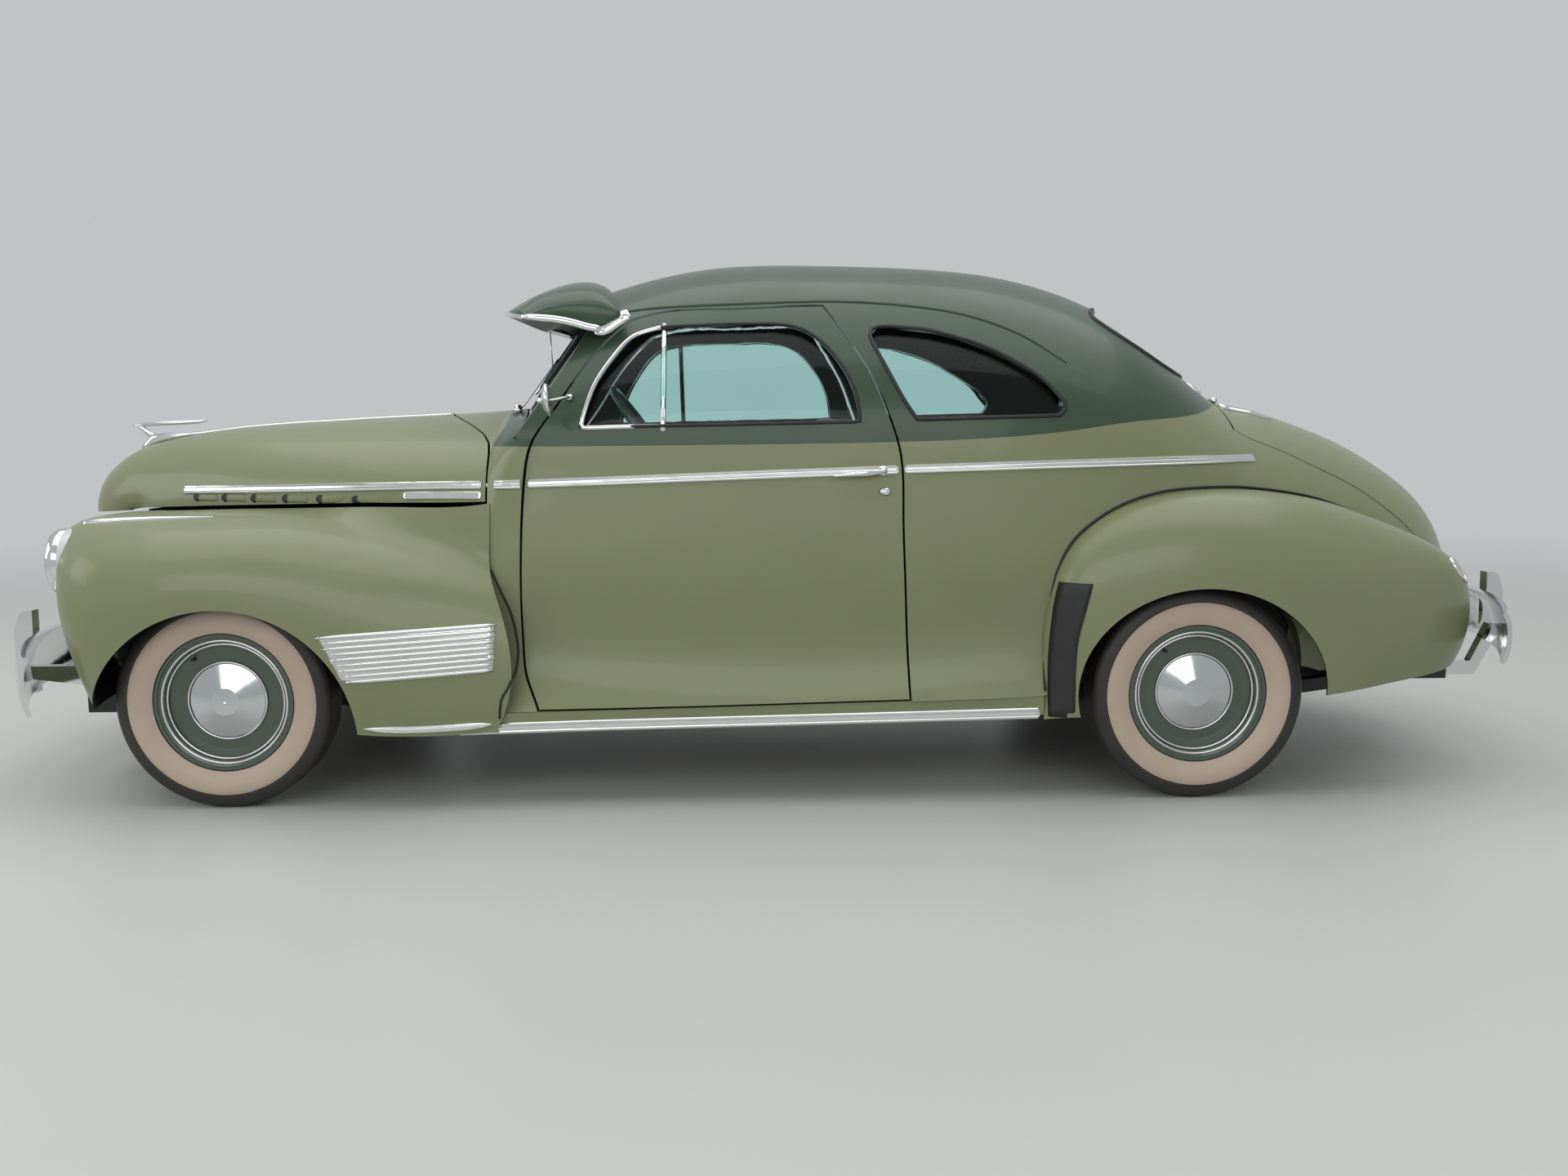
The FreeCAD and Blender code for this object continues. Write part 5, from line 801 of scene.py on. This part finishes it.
for side in SIDES:
    scoops, slot_shade = bmesh.new(), bmesh.new()
    for k, x in enumerate(LOUVRES):
        z_mid = 919 - k / 5
        # painted shade: a black rubber-coloured sheet stands for the shade inside each louvre's slot
        louvre_sheet(slot_shade, x - 6, x + 13, z_mid, 13, 0.0015, side, False)
        louvre_sheet(scoops, x + 13, x + 84, z_mid, 12, 0.0022, side, True)
    finished(sided("hood_scoops", side), scoops, pale_green, "hood_panel")
    # the slot sheets are painted shade, not an opening in the hood
    finished(sided("hood_slot_shade", side), slot_shade, rubber, "hood_panel")
    moulding("hood_side_plate", HOOD, [(515, 932), (640, 934), (768, 935)], side, SIDE_PLATE, "hood_panel")


# Roof: drip rail

DRIP_RAIL = [(1190, 1497), (1300, 1510), (1550, 1519), (1840, 1526), (2052, 1515), (2254, 1484), (2433, 1418),
             (2570, 1325)]
for side in SIDES:
    bm = bmesh.new()
    strip_on(bm, ROOF, DRIP_RAIL, side, round_profile(0.006, flat=0.8), rear=4)
    finished(sided("drip_rail", side), bm, dark_green)


# Door handles and locks

HANDLE_X, HANDLE_LENGTH, HANDLE_Z = 1998, 158, 1003
HANDLE_STEPS = 14
LOCK_X, LOCK_Z = 2001, 943

for side in SIDES:
    skin = DOORS[side]
    bm = bmesh.new()
    places, normals, scales = [], [], []
    for k in range(HANDLE_STEPS + 1):
        share = k / HANDLE_STEPS
        place, normal = from_side(skin, px(HANDLE_X - HANDLE_LENGTH * share), (HANDLE_Z - 14 * share) / 1000,
                                  side)
        stand = 0.030 * math.sin(math.pi * min(share * 1.6 + 0.18, 1.0) / 2) + 0.004
        places.append(place + normal * stand)
        normals.append(normal)
        scales.append((1.0 - 0.55 * abs(2 * share - 0.7), 1.0 - 0.45 * share))
    lever = [(0.0105 * c, 0.0065 * s) for c, s in circle(10)]
    sweep(bm, places, normals, lever, scales=scales)
    rose, normal = from_side(skin, px(1990), 1.005, side)
    stud(bm, rose, normal, 0.017, 0.014, 0.008, 0.004)
    stud(bm, rose, normal, 0.009, 0.008, 0.030, 0.016)
    # lock cover, drawn out forward to a drop
    lock, normal = from_side(skin, px(LOCK_X), LOCK_Z / 1000, side)
    for vertex in stud(bm, lock, normal, 0.0135, 0.009, 0.008, 0.003):
        vertex.co.x += min(vertex.co.x - px(LOCK_X), 0.0) * 0.9
    finished(sided("door_handle", side), bm, chrome, DOOR_BODY[side])


# Mirror on the front edge of the left door

MIRROR_HEAD = Vector((px(1000), -0.800, 1.222))
MIRROR_FOOT = (px(1046), 1.229)
# Radius and depth of the head's back, in metres
MIRROR_BACK = ((0.052, 0.000), (0.0525, 0.004), (0.049, 0.010), (0.036, 0.018), (0.018, 0.023),
               (0.006, 0.0245))

bm = bmesh.new()
turn = Matrix.Rotation(math.radians(83), 3, "Y")
joined(bm, [[
    bm.verts.new(MIRROR_HEAD + turn @ Vector((radius * c, radius * s, -depth))) for c, s in circle(40)
] for radius, depth in MIRROR_BACK])
foot, normal = from_side(DOORS[LEFT], *MIRROR_FOOT, LEFT)
stud(bm, foot, normal, 0.013, 0.009, 0.014, 0.006)
arm = smooth_run([
    foot, foot + Vector((-0.006, -0.040, 0.002)), foot + Vector((-0.040, -0.075, -0.006)),
    MIRROR_HEAD + Vector((-0.034, 0.006, -0.004)), MIRROR_HEAD + Vector((-0.018, 0, 0)),
], 0.008)
rod(bm, arm, Vector((0, 0, 1)), 0.0045)
ball(bm, MIRROR_HEAD + Vector((-0.030, 0.002, -0.002)), 0.0095, 20, 12)
finished("mirror", bm, chrome, "left_door")


# Wipers and aerial

COWL = tree_of("cowl")
SCREEN_FACING = Vector((-0.8, 0, 0.6))
WIPER_ARM, WIPER_BLADE = both_sides(((3, -1.5), (3, 1.5))), both_sides(((3.5, -4), (3.5, 4)))

bm = bmesh.new()
for side in SIDES:
    start = from_above(COWL, px(835), side * 0.34)[0] + Vector((0, 0, 0.012))
    stud(bm, start, Vector((0, 0, 1)), 0.017, 0.011, 0.030, segments=20)
    elbow = on_screen(side * 0.30, 1.215) + Vector((-0.022, 0, 0))
    end = on_screen(side * 0.16, 1.36) + Vector((-0.012, 0, 0.004))
    arm = smooth_run([start, elbow, end], 0.02)
    sweep(bm, arm, [SCREEN_FACING] * len(arm), WIPER_ARM)
    low, high = on_screen(side * 0.235, 1.245), on_screen(side * 0.085, 1.460)
    blade = [low.lerp(high, k / 10) + Vector((-0.006, 0, 0.002)) for k in range(11)]
    sweep(bm, blade, [SCREEN_FACING] * len(blade), WIPER_BLADE)
finished("wipers", bm, chrome)

bm = bmesh.new()
foot = from_side(BODY, px(868), 1.190, RIGHT)[0] + Vector((0, 0.006, 0))
for low, high, radius in ((0.0, 0.03, 0.009), (0.03, 0.16, 0.0042), (0.16, 0.29, 0.0022)):
    rod(bm, [foot + Vector((-0.05 * z, 0, z)) for z in (low, high)], Vector((0, 1, 0)), radius, 12)
ball(bm, foot + Vector((-0.0145, 0, 0.292)), 0.0042, 12, 8)
finished("aerial", bm, chrome)


# Headlamp rims, from the radius and the distance behind the lamp's front, in metres

LAMP_PLACE = (px(-520), 0.655, 0.740)
LAMP_RIM = ((0.1015, 0.034), (0.1030, 0.010), (0.1020, -0.004), (0.0985, -0.010), (0.0930, -0.010),
            (0.0900, -0.005), (0.0895, 0.004), (0.0895, 0.034))
for side in SIDES:
    bm = bmesh.new()
    x, y, z = LAMP_PLACE
    joined(bm, [[
        bm.verts.new((x + back, side * y + radius * c, z + radius * s)) for c, s in circle(64)
    ] for radius, back in LAMP_RIM], True)
    finished(sided("headlamp_rim", side), bm, chrome)


# Deck lid hinges

DECK = tree_of("deck_lid", "roof")
HINGE_Y = 0.27
HINGE_EDGE = ((15, -2), (15, 3), (10, 8))

bm = bmesh.new()
for side in SIDES:
    places, normals = met(from_above(DECK, px(x), side * HINGE_Y) for x in range(3170, 3370, 20))
    sweep(bm, places, normals, both_sides(HINGE_EDGE, 11), scales=tapered(len(places), 0, 4, 0.25))
finished("deck_hinge_straps", bm, chrome, "deck")
bm = bmesh.new()
for side in SIDES:
    place, normal = from_above(DECK, px(3150), side * HINGE_Y)
    rod(bm, [place + Vector((0, side * y, 0.006)) for y in (-0.022, 0.022)], normal, 0.010, 12)
    places, normals = met(from_above(DECK, px(x), side * HINGE_Y) for x in range(3060, 3150, 15))
    sweep(bm, places, normals, both_sides(HINGE_EDGE, 10), scales=tapered(len(places), 3, 0, 0.3))
finished("deck_hinge_bases", bm, chrome)


# Hood ornament: a thin blade on a neck that grows out of a long base

# Millimetres behind the front axle, low and high above the floor, and half width
BLADE = ((-557, 1146, 1149, 3), (-545, 1144, 1153, 8), (-508, 1146, 1159, 11), (-450, 1149, 1164, 12),
         (-380, 1151, 1167, 12), (-330, 1155, 1167.5, 11), (-300, 1163, 1168, 8))
NECK = ((-540, 1142, 1152, 6), (-531, 1135, 1151, 7), (-521, 1124, 1149, 7), (-510, 1108, 1141, 7),
        (-497, 1100, 1131, 8), (-480, 1102, 1124, 8))
# Millimetres behind the front axle, top above the floor, and half width
ORNAMENT_BASE = ((-528, 1079, 6), (-510, 1098, 9), (-490, 1117, 11), (-460, 1122, 12), (-400, 1125.5, 12),
                 (-330, 1128, 11), (-250, 1131, 10), (-180, 1133, 8), (-151, 1133, 7))


def oval(bm, x_mm, low, high, half_mm, power=2.4):
    """Ring across the car, squarer than an ellipse, from a low to a high z in metres."""
    ring = []
    for c, s in circle(20):
        y = math.copysign(abs(c) ** (2 / power), c) * half_mm / 1000
        z = math.copysign(abs(s) ** (2 / power), s) * (high - low) / 2 + (high + low) / 2
        ring.append(bm.verts.new((px(x_mm), y, z)))
    return ring


bm = bmesh.new()
for table in (BLADE, NECK):
    joined(bm, [oval(bm, x, low / 1000, high / 1000, half) for x, low, high, half in table])
rings = []
for x, top, half in ORNAMENT_BASE:
    hit = from_above(HOOD, px(x), 0.0)
    low = (hit[0].z if hit else top / 1000 - 0.02) - 0.004
    rings.append(oval(bm, x, low, max(top / 1000, low + 0.008), half, 2.2))
joined(bm, rings)
finished("ornament_blade", bm, chrome, "hood_panel", stands_for=("hood_ornament",))


# Prow strip

FRONT = tree_of("hood", "nose_panel")
bm = bmesh.new()
places, normals = met(from_front(FRONT, 0.0, z / 1000) for z in range(1062, 872, -10))
sweep(bm, places, normals, both_sides(((6, -2), (6, 1), (3.5, 4)), 5))
finished("prow_strip", bm, chrome, "hood_panel")


# Sun visor: sheet with raised corners, side cheeks, bright trim and brackets

CORNER_LIFT = 0.033
CHEEK_TOP = [(905, 1480), (950, 1502), (998, 1516), (1045, 1524), (1095, 1527), (1142, 1521), (1196, 1494)]
CHEEK_LOW = [(900, 1478), (947, 1475), (1000, 1470), (1050, 1460), (1095, 1447), (1135, 1440), (1190, 1468)]
CHEEK_REACH, CHEEK_THICK, CHEEK_BULGE = 0.603, 0.006, 0.006
# Half width, millimetres behind the front axle and above the floor
VISOR_EDGE = ((0, 773, 1520), (250, 790, 1512), (420, 828, 1497), (520, 862, 1489), (600, 903, 1478))
LIP_BAR = both_sides(((9, -4), (11, 0), (9, 5)), 8, 0.8, 0.9)
BAND_BAR = both_sides(((12, -5), (13, 0), (10, 4)), 6, 0.95)
BRACKET = [(1118, 1437), (1143, 1438), (1172, 1455), (1202, 1475), (1224, 1487)]
BRACKET_BAR = both_sides(((19, -4), (20, 1), (17, 4)))
BRACKET_BOLTS = ((1143, 1436), (1202, 1474))


def eased(value, start, end):
    t = min(max((value - start) / (end - start), 0.0), 1.0)
    return t * t * (3 - 2 * t)


bm = bmesh.new()
bm.from_mesh(nodes["sun_visor"].data)
for vertex in bm.verts:
    place = vertex.co
    place.z += CORNER_LIFT * eased(abs(place.y), 0.40, 0.60) * eased(-place.x, -px(1060), -px(905))
finished("visor_sheet", bm, dark_green, stands_for=("sun_visor",))

for side in SIDES:
    bm = bmesh.new()
    top, low = side_run(CHEEK_TOP, 0.016), side_run(CHEEK_LOW, 0.016)
    last = min(len(top), len(low)) - 1
    grids = []
    for reach in (CHEEK_REACH, CHEEK_REACH - CHEEK_THICK):
        grid = []
        for k in range(last + 1):
            a, b = (run[round(k * (len(run) - 1) / last)] for run in (top, low))
            row = []
            for j in range(5):
                x, z = a.lerp(b, j / 4)
                row.append(bm.verts.new((x, side * (reach + CHEEK_BULGE * math.sin(math.pi * j / 4)), z)))
            grid.append(row)
        grids.append(grid)
    sheet(bm, *grids)
    finished(sided("visor_cheek", side), bm, dark_green)

bm = bmesh.new()
edge = [(px(x), y / 1000, z / 1000) for y, x, z in VISOR_EDGE]
run = smooth_run([(x, -y, z) for x, y, z in edge[:0:-1]] + edge, 0.03)
sweep(bm, [spot + Vector((0.002, 0, -0.002)) for spot in run], [Vector((-0.6, 0, 0.8))] * len(run), LIP_BAR)
for side in SIDES:
    run = smooth_run([(px(x), side * 0.607, z / 1000) for x, z in CHEEK_LOW[:6]], 0.02)
    scales = [(0.55 + 0.45 * math.sin(math.pi * min(k / 6, 0.5)), 1.0) for k in range(len(run))]
    sweep(bm, run, [Vector((0, side, 0.2)).normalized()] * len(run), BAND_BAR, scales=scales)
finished("visor_trim", bm, chrome)


def beside_roof(x, z, side):
    """Place just outside the roof, and no further in than the visor's cheek."""
    near = ROOF.find_nearest(Vector((x, side * 0.66, z)))[0]
    return Vector((x, side * max(abs(near.y) + 0.004, CHEEK_REACH), z))


bm = bmesh.new()
for side in SIDES:
    path = [beside_roof(x, z, side) for x, z in side_run(BRACKET, 0.012)]
    sweep(bm, path, [Vector((0, side, 0.35)).normalized()] * len(path), BRACKET_BAR,
          scales=tapered(len(path), 2, 2, 0.7))
    for x, z in BRACKET_BOLTS:
        bolt = beside_roof(px(x), z / 1000, side) + Vector((0, side * 0.004, 0))
        stud(bm, bolt, Vector((0, -1, 0)), 0.0075, 0.0055, 0.006, segments=20)
finished("visor_brackets", bm, stainless)


# Windshield gasket and its bright outer edge, round what shows of each pane

GLASS = tree_of("window_glass")
AROUND = tree_of("roof", "cowl")
AHEAD = 0.30                 # how far in front of the glass the search starts


def open_pane(y, z):
    """Front face of the windshield on a line along the car, if nothing stands before it."""
    start = on_screen(y, z) - Vector((AHEAD, 0, 0))
    pane = GLASS.ray_cast(start, Vector((1, 0, 0)))[0]
    if pane is None or pane.x > start.x + 0.45:
        return None
    before = AROUND.ray_cast(start, Vector((1, 0, 0)))[0]
    return None if before is not None and before.x < pane.x else pane


for side in SIDES:
    outer_edge, inner_edge = [], []
    for step in range(60):
        z = 1.150 + step * 0.0065
        seen = [spot for spot in (open_pane(side * k * 0.005, z) for k in range(2, 150)) if spot]
        if seen:
            outer_edge.append(max(seen, key=lambda spot: abs(spot.y)))
            inner_edge.append(min(seen, key=lambda spot: abs(spot.y)))
    loop = outer_edge + inner_edge[::-1]
    middle = sum(loop, Vector()) / len(loop)
    line = smooth_run(loop + loop[:1], 0.02)[:-1]
    # three passes of smoothing take out the steps of the search
    for _ in range(3):
        line = [(line[k - 1] + line[k] * 2 + line[(k + 1) % len(line)]) / 4 for k in range(len(line))]
    front = Vector((-1.0, 0, SCREEN_LEAN)).normalized()
    for name, material, slot, radius, places in (
        ("windshield_gasket", rubber, "whitewall_tyre", 0.0075, [spot + front * 0.002 for spot in line]),
        ("windshield_edge", chrome, "bright", 0.0045,
         [spot + (spot - middle).normalized() * 0.011 + front * 0.005 for spot in line]),
    ):
        bm = bmesh.new()
        sweep(bm, places, [front] * len(places), round_profile(radius), closed_path=True)
        finished(sided(name, side), bm, material)


# Back window gasket, deck lid handle and tail lamp rims

# Half width and height above the floor
BACK_WINDOW = ((0, 1516), (120, 1515), (230, 1510), (330, 1498), (410, 1470), (448, 1425), (456, 1375),
               (440, 1330), (390, 1303), (280, 1294), (140, 1291), (0, 1290))
half = [(y / 1000, z / 1000) for y, z in BACK_WINDOW]
loop = smooth_run(half + [(-y, z) for y, z in half[-2::-1]], 0.02)[:-1]
bm = bmesh.new()
hits = []
for k, spot in enumerate(loop):
    step = (loop[(k + 1) % len(loop)] - loop[k - 1]).normalized() * 0.006
    either = (from_rear(ROOF, spot.x - step.y, spot.y + step.x),
              from_rear(ROOF, spot.x + step.y, spot.y - step.x))
    hits.append(max((hit for hit in either if hit), key=lambda hit: hit[0].x, default=None))
places, normals = met(hits)
sweep(bm, places, normals, round_profile(0.008), closed_path=True)
finished("back_window_gasket", bm, rubber)

bm = bmesh.new()
place, normal = from_rear(tree_of("deck_lid"), 0.0, 0.640)
stud(bm, place, normal, 0.026, 0.022, 0.008, 0.003, 28)
stud(bm, place, normal, 0.011, 0.010, 0.036, 0.018, 28)
bar = [place + normal * 0.036 + Vector((0, y / 1000, 0)) for y in range(-56, 57, 8)]
ends = [(abs(k - 7) / 7) ** 2 for k in range(len(bar))]
sweep(bm, bar, [normal] * len(bar), round_profile(0.009, 12),
      scales=[(1.0 - 0.5 * share, 1.0 - 0.35 * share) for share in ends])
finished("deck_handle", bm, chrome, "deck")

for side in SIDES:
    spots = [vertex.co for vertex in nodes["tail_lamps"].data.vertices if vertex.co.y * side > 0]
    low, high = (Vector([pick(spot[k] for spot in spots) for k in range(3)]) for pick in (min, max))
    middle, reach = (low + high) / 2, (high - low) / 2 + Vector((0.004, 0.004, 0.004))
    bm = bmesh.new()
    places, normals = met(
        from_rear(REAR_FENDERS, middle.y + reach.y * c, middle.z + reach.z * s) for c, s in circle(48))
    sweep(bm, places, normals, round_profile(0.0065), closed_path=True)
    finished(sided("tail_lamp_rim", side), bm, chrome)


# Dashboard: dials, radio grille bars and knobs

dash_low, dash_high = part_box("dashboard")
DASH = tree_of("dashboard")
DASH_MIDDLE = dash_low.z * 0.45 + dash_high.z * 0.55
DIALS = ((-0.34, 0.062), (0.36, 0.042), (-0.475, 0.024), (-0.205, 0.024))


def on_dash(y, z):
    return cast(DASH, (dash_high.x + 0.3, y, DASH_MIDDLE + z), (-1, 0, 0))


bm, dials = bmesh.new(), bmesh.new()
for y, radius in DIALS:
    hit = on_dash(y, 0.0)
    if hit:
        place, normal = hit
        stud(dials, place, normal, radius * 0.92, radius * 0.9, 0.006, 0.002, 36)
        face = normal.to_track_quat("Z", "Y").to_matrix()
        ring = [place + face @ Vector((radius * c, radius * s, 0.004)) for c, s in circle(36)]
        sweep(bm, ring, [normal] * len(ring), round_profile(0.004), closed_path=True)
        pointer = place + normal * 0.0065
        rod(bm, [pointer, pointer + face @ Vector((0.45 * radius, 0.45 * radius, 0))], normal, 0.0012, 6)
for k in range(7):
    ends = [on_dash(0.025 * (k - 3), z) for z in (-0.045, 0.045)]
    if all(ends):
        rod(bm, met(ends, 0.003)[0], ends[0][1], 0.0035)
for y in (-0.13, 0.13, 0.19, 0.25):
    hit = on_dash(y, -0.035)
    if hit:
        stud(bm, *hit, 0.011, 0.008, 0.022, 0.012, 20)
finished("dash_bright_parts", bm, chrome)
finished("dash_dials", dials, rubber)


# Door cards: three sewn welts, an armrest pad and two inside handles

WELTS = ((1085, 1130, 1930, 0.006), (760, 1120, 1950, 0.004), (560, 1110, 1960, 0.004))
INSIDE_HANDLES = ((1830, 955, 0.085, 200), (1420, 905, 0.095, 250))

for side in SIDES:
    pads, metal = bmesh.new(), bmesh.new()

    def inner_face(x, z):
        return cast(DOORS[side], (px(x), side * 0.20, z / 1000), (0, side, 0))

    for z, x0, x1, radius in WELTS:
        places, normals = met(inner_face(x0 + (x1 - x0) * k / 30, z) for k in range(31))
        sweep(pads, places, normals, round_profile(radius))
    places, normals = met((inner_face(1480 + 300 * k / 16, 845) for k in range(17)), 0.016)
    scales = [(0.6 + 0.4 * math.sin(math.pi * k / (len(places) - 1)),) * 2 for k in range(len(places))]
    sweep(pads, places, normals, [(0.022 * c, 0.018 * s) for c, s in circle(12)], scales=scales)
    finished(sided("door_card_trim", side), pads, lining, DOOR_BODY[side])
    for x, z, length, degrees in INSIDE_HANDLES:
        place, normal = inner_face(x, z)
        stud(metal, place, normal, 0.024, 0.019, 0.010, 0.004)
        angle = math.radians(degrees)
        a = place + normal * 0.022
        b = a + Vector((math.cos(angle), 0, math.sin(angle))) * length
        up = Vector((0, 0, 1)) if abs(math.sin(angle)) < 0.7 else Vector((1, 0, 0))
        rod(metal, [place, a, a.lerp(b, 0.3), a.lerp(b, 0.7), b], up, 0.0062, 10)
    finished(sided("door_inside_handles", side), metal, chrome, DOOR_BODY[side])


# Seats: upholstered benches made by simulation

VOXEL, PRESSURE, FRAMES, SWELL_CAP = 0.014, 4.0, 20, 0.010
CUSHION_INSET, CUSHION_ROUND = 0.012, 0.045
SEAM_HALF, SEAM_DEPTH, SEAM_MARGIN = 0.012, 0.007, 0.06


def cloth_material(name, colour):
    material, tree, bsdf, place = shader(name, Sheen_Weight=0.35)
    weave = add_node(tree, "TexWave", {"Scale": 90.0, "Vector": place}, bands_direction="Y")
    wide = calc(tree, "MULTIPLY", noise(tree, place, 9.0), 0.65)
    shade = calc(tree, "MULTIPLY_ADD", weave.outputs["Fac"], 0.35, wide)
    feed(tree, bsdf.inputs["Base Color"], mixed(tree, shade, shaded(colour, 0.72), shaded(colour, 1.25)))
    bumped(tree, bsdf, noise(tree, place, 1500.0, 2.0), 0.5, 0.0008)
    return material


upholstery = cloth_material("seat_upholstery", (0.115, 0.098, 0.080))


def rounded_block(bm, low, high, radius, lean):
    """Block with rounded edges whose top leans rearward."""
    size = high - low
    made = bmesh.ops.create_cube(bm, size=1.0)["verts"]
    for vertex in made:
        share = vertex.co + Vector((0.5, 0.5, 0.5))
        vertex.co = low + share * size
        vertex.co.x += lean * share.z
    edges = {edge for vertex in made for edge in vertex.link_edges}
    bmesh.ops.bevel(bm, geom=list(edges), offset=radius, affect="EDGES", segments=3, profile=0.5, material=-1,
                    offset_type="OFFSET", clamp_overlap=True)


def swollen(made):
    """Let pressure round a cushion, with no point moving further than the cap."""
    bpy.context.view_layer.objects.active = made
    before = [vertex.co.copy() for vertex in made.data.vertices]
    cloth = made.modifiers.new("cloth", "CLOTH")
    cloth.settings.use_pressure = True
    cloth.settings.uniform_pressure_force = PRESSURE
    cloth.settings.effector_weights.gravity = 0.0
    cloth.settings.quality = 4
    cloth.point_cache.frame_start, cloth.point_cache.frame_end = 1, FRAMES
    for step in range(1, FRAMES + 1):
        scene.frame_set(step)
        bpy.context.view_layer.update()
    shape = made.evaluated_get(bpy.context.evaluated_depsgraph_get())
    after = [vertex.co.copy() for vertex in shape.data.vertices]
    made.modifiers.remove(cloth)
    for vertex, old, new in zip(made.data.vertices, before, after):
        move = new - old
        if move.length > SWELL_CAP:
            move = move.normalized() * SWELL_CAP
        vertex.co = old + move
    scene.frame_set(1)


def cushion(name, low, high, lean, channels):
    """Bench cushion, or a back when it leans, with sewn channels across its width."""
    bm = bmesh.new()
    inset = Vector((CUSHION_INSET,) * 3)
    rounded_block(bm, low + inset, high - inset, CUSHION_ROUND, lean)
    made = object_of(name, bm)
    made.data.materials.append(upholstery)
    remesh = made.modifiers.new("remesh", "REMESH")
    remesh.mode = "VOXEL"
    remesh.voxel_size = VOXEL
    shape = made.evaluated_get(bpy.context.evaluated_depsgraph_get())
    fresh = bpy.data.meshes.new_from_object(shape)
    made.modifiers.remove(remesh)
    made.data = fresh
    swollen(made)
    # a narrow dip along every seam, on the side that people touch
    width = (high.y - low.y) / channels
    middle = (low + high) / 2
    for vertex in made.data.vertices:
        place = vertex.co
        share = (place.y - low.y) / width
        near = abs(share - round(share)) * width
        if near >= SEAM_HALF or not SEAM_MARGIN < place.y - low.y < high.y - low.y - SEAM_MARGIN:
            continue
        dip = SEAM_DEPTH * (1 - near / SEAM_HALF)
        if lean:
            if place.x - lean * (place.z - low.z) / (high.z - low.z) < middle.x:
                place.x += dip
        elif place.z > middle.z:
            place.z -= dip
    for polygon in made.data.polygons:
        polygon.use_smooth = True
    sub = made.modifiers.new("smooth", "SUBSURF")
    sub.levels = sub.render_levels = 1
    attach(made, "car_body")
    return made


# Seat, its cushion's depth and height, where its back starts, and how many channels it has
for label, depth, height, back, channels in (("front", 0.52, 0.190, 0.39, 10),
                                             ("rear", 0.43, 0.170, 0.32, 8)):
    low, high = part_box("seat_" + label)
    top = low.z + height
    seat = cushion(label + "_cushion", Vector(low), Vector((low.x + depth, high.y, top)), 0.0, channels)
    cushion(label + "_back", Vector((low.x + back, low.y, top + 0.001)),
            Vector((low.x + depth, high.y, high.z)), high.x - low.x - depth, channels)
    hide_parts("seat_" + label)


# Floor, which blends into the studio's air far from the car

FLOOR_GREY = (0.53, 0.54, 0.51)
bm = bmesh.new()
bmesh.ops.create_grid(bm, x_segments=1, y_segments=1, size=40)
studio_floor = object_of("studio_floor", bm)
studio_floor.location = (0, 0, -0.0005)
floor_look, tree, bsdf, place = shader("floor_paint")
varied(tree, bsdf, place, FLOOR_GREY, 0.4, 0.01, 0.5)
reach = add_node(tree, "VectorMath", {0: place}, operation="LENGTH").outputs["Value"]
glow = add_node(tree, "Emission", {"Color": AIR, "Strength": AIR_STRENGTH}).outputs[0]
blend = add_node(tree, "MixShader",
                 {0: ranged(tree, reach, 3.5, 11.0, 0.0, 1.0), 1: bsdf.outputs[0], 2: glow})
tree.links.new(blend.outputs[0], tree.nodes["Material Output"].inputs["Surface"])
studio_floor.data.materials.append(floor_look)

bpy.context.view_layer.update()
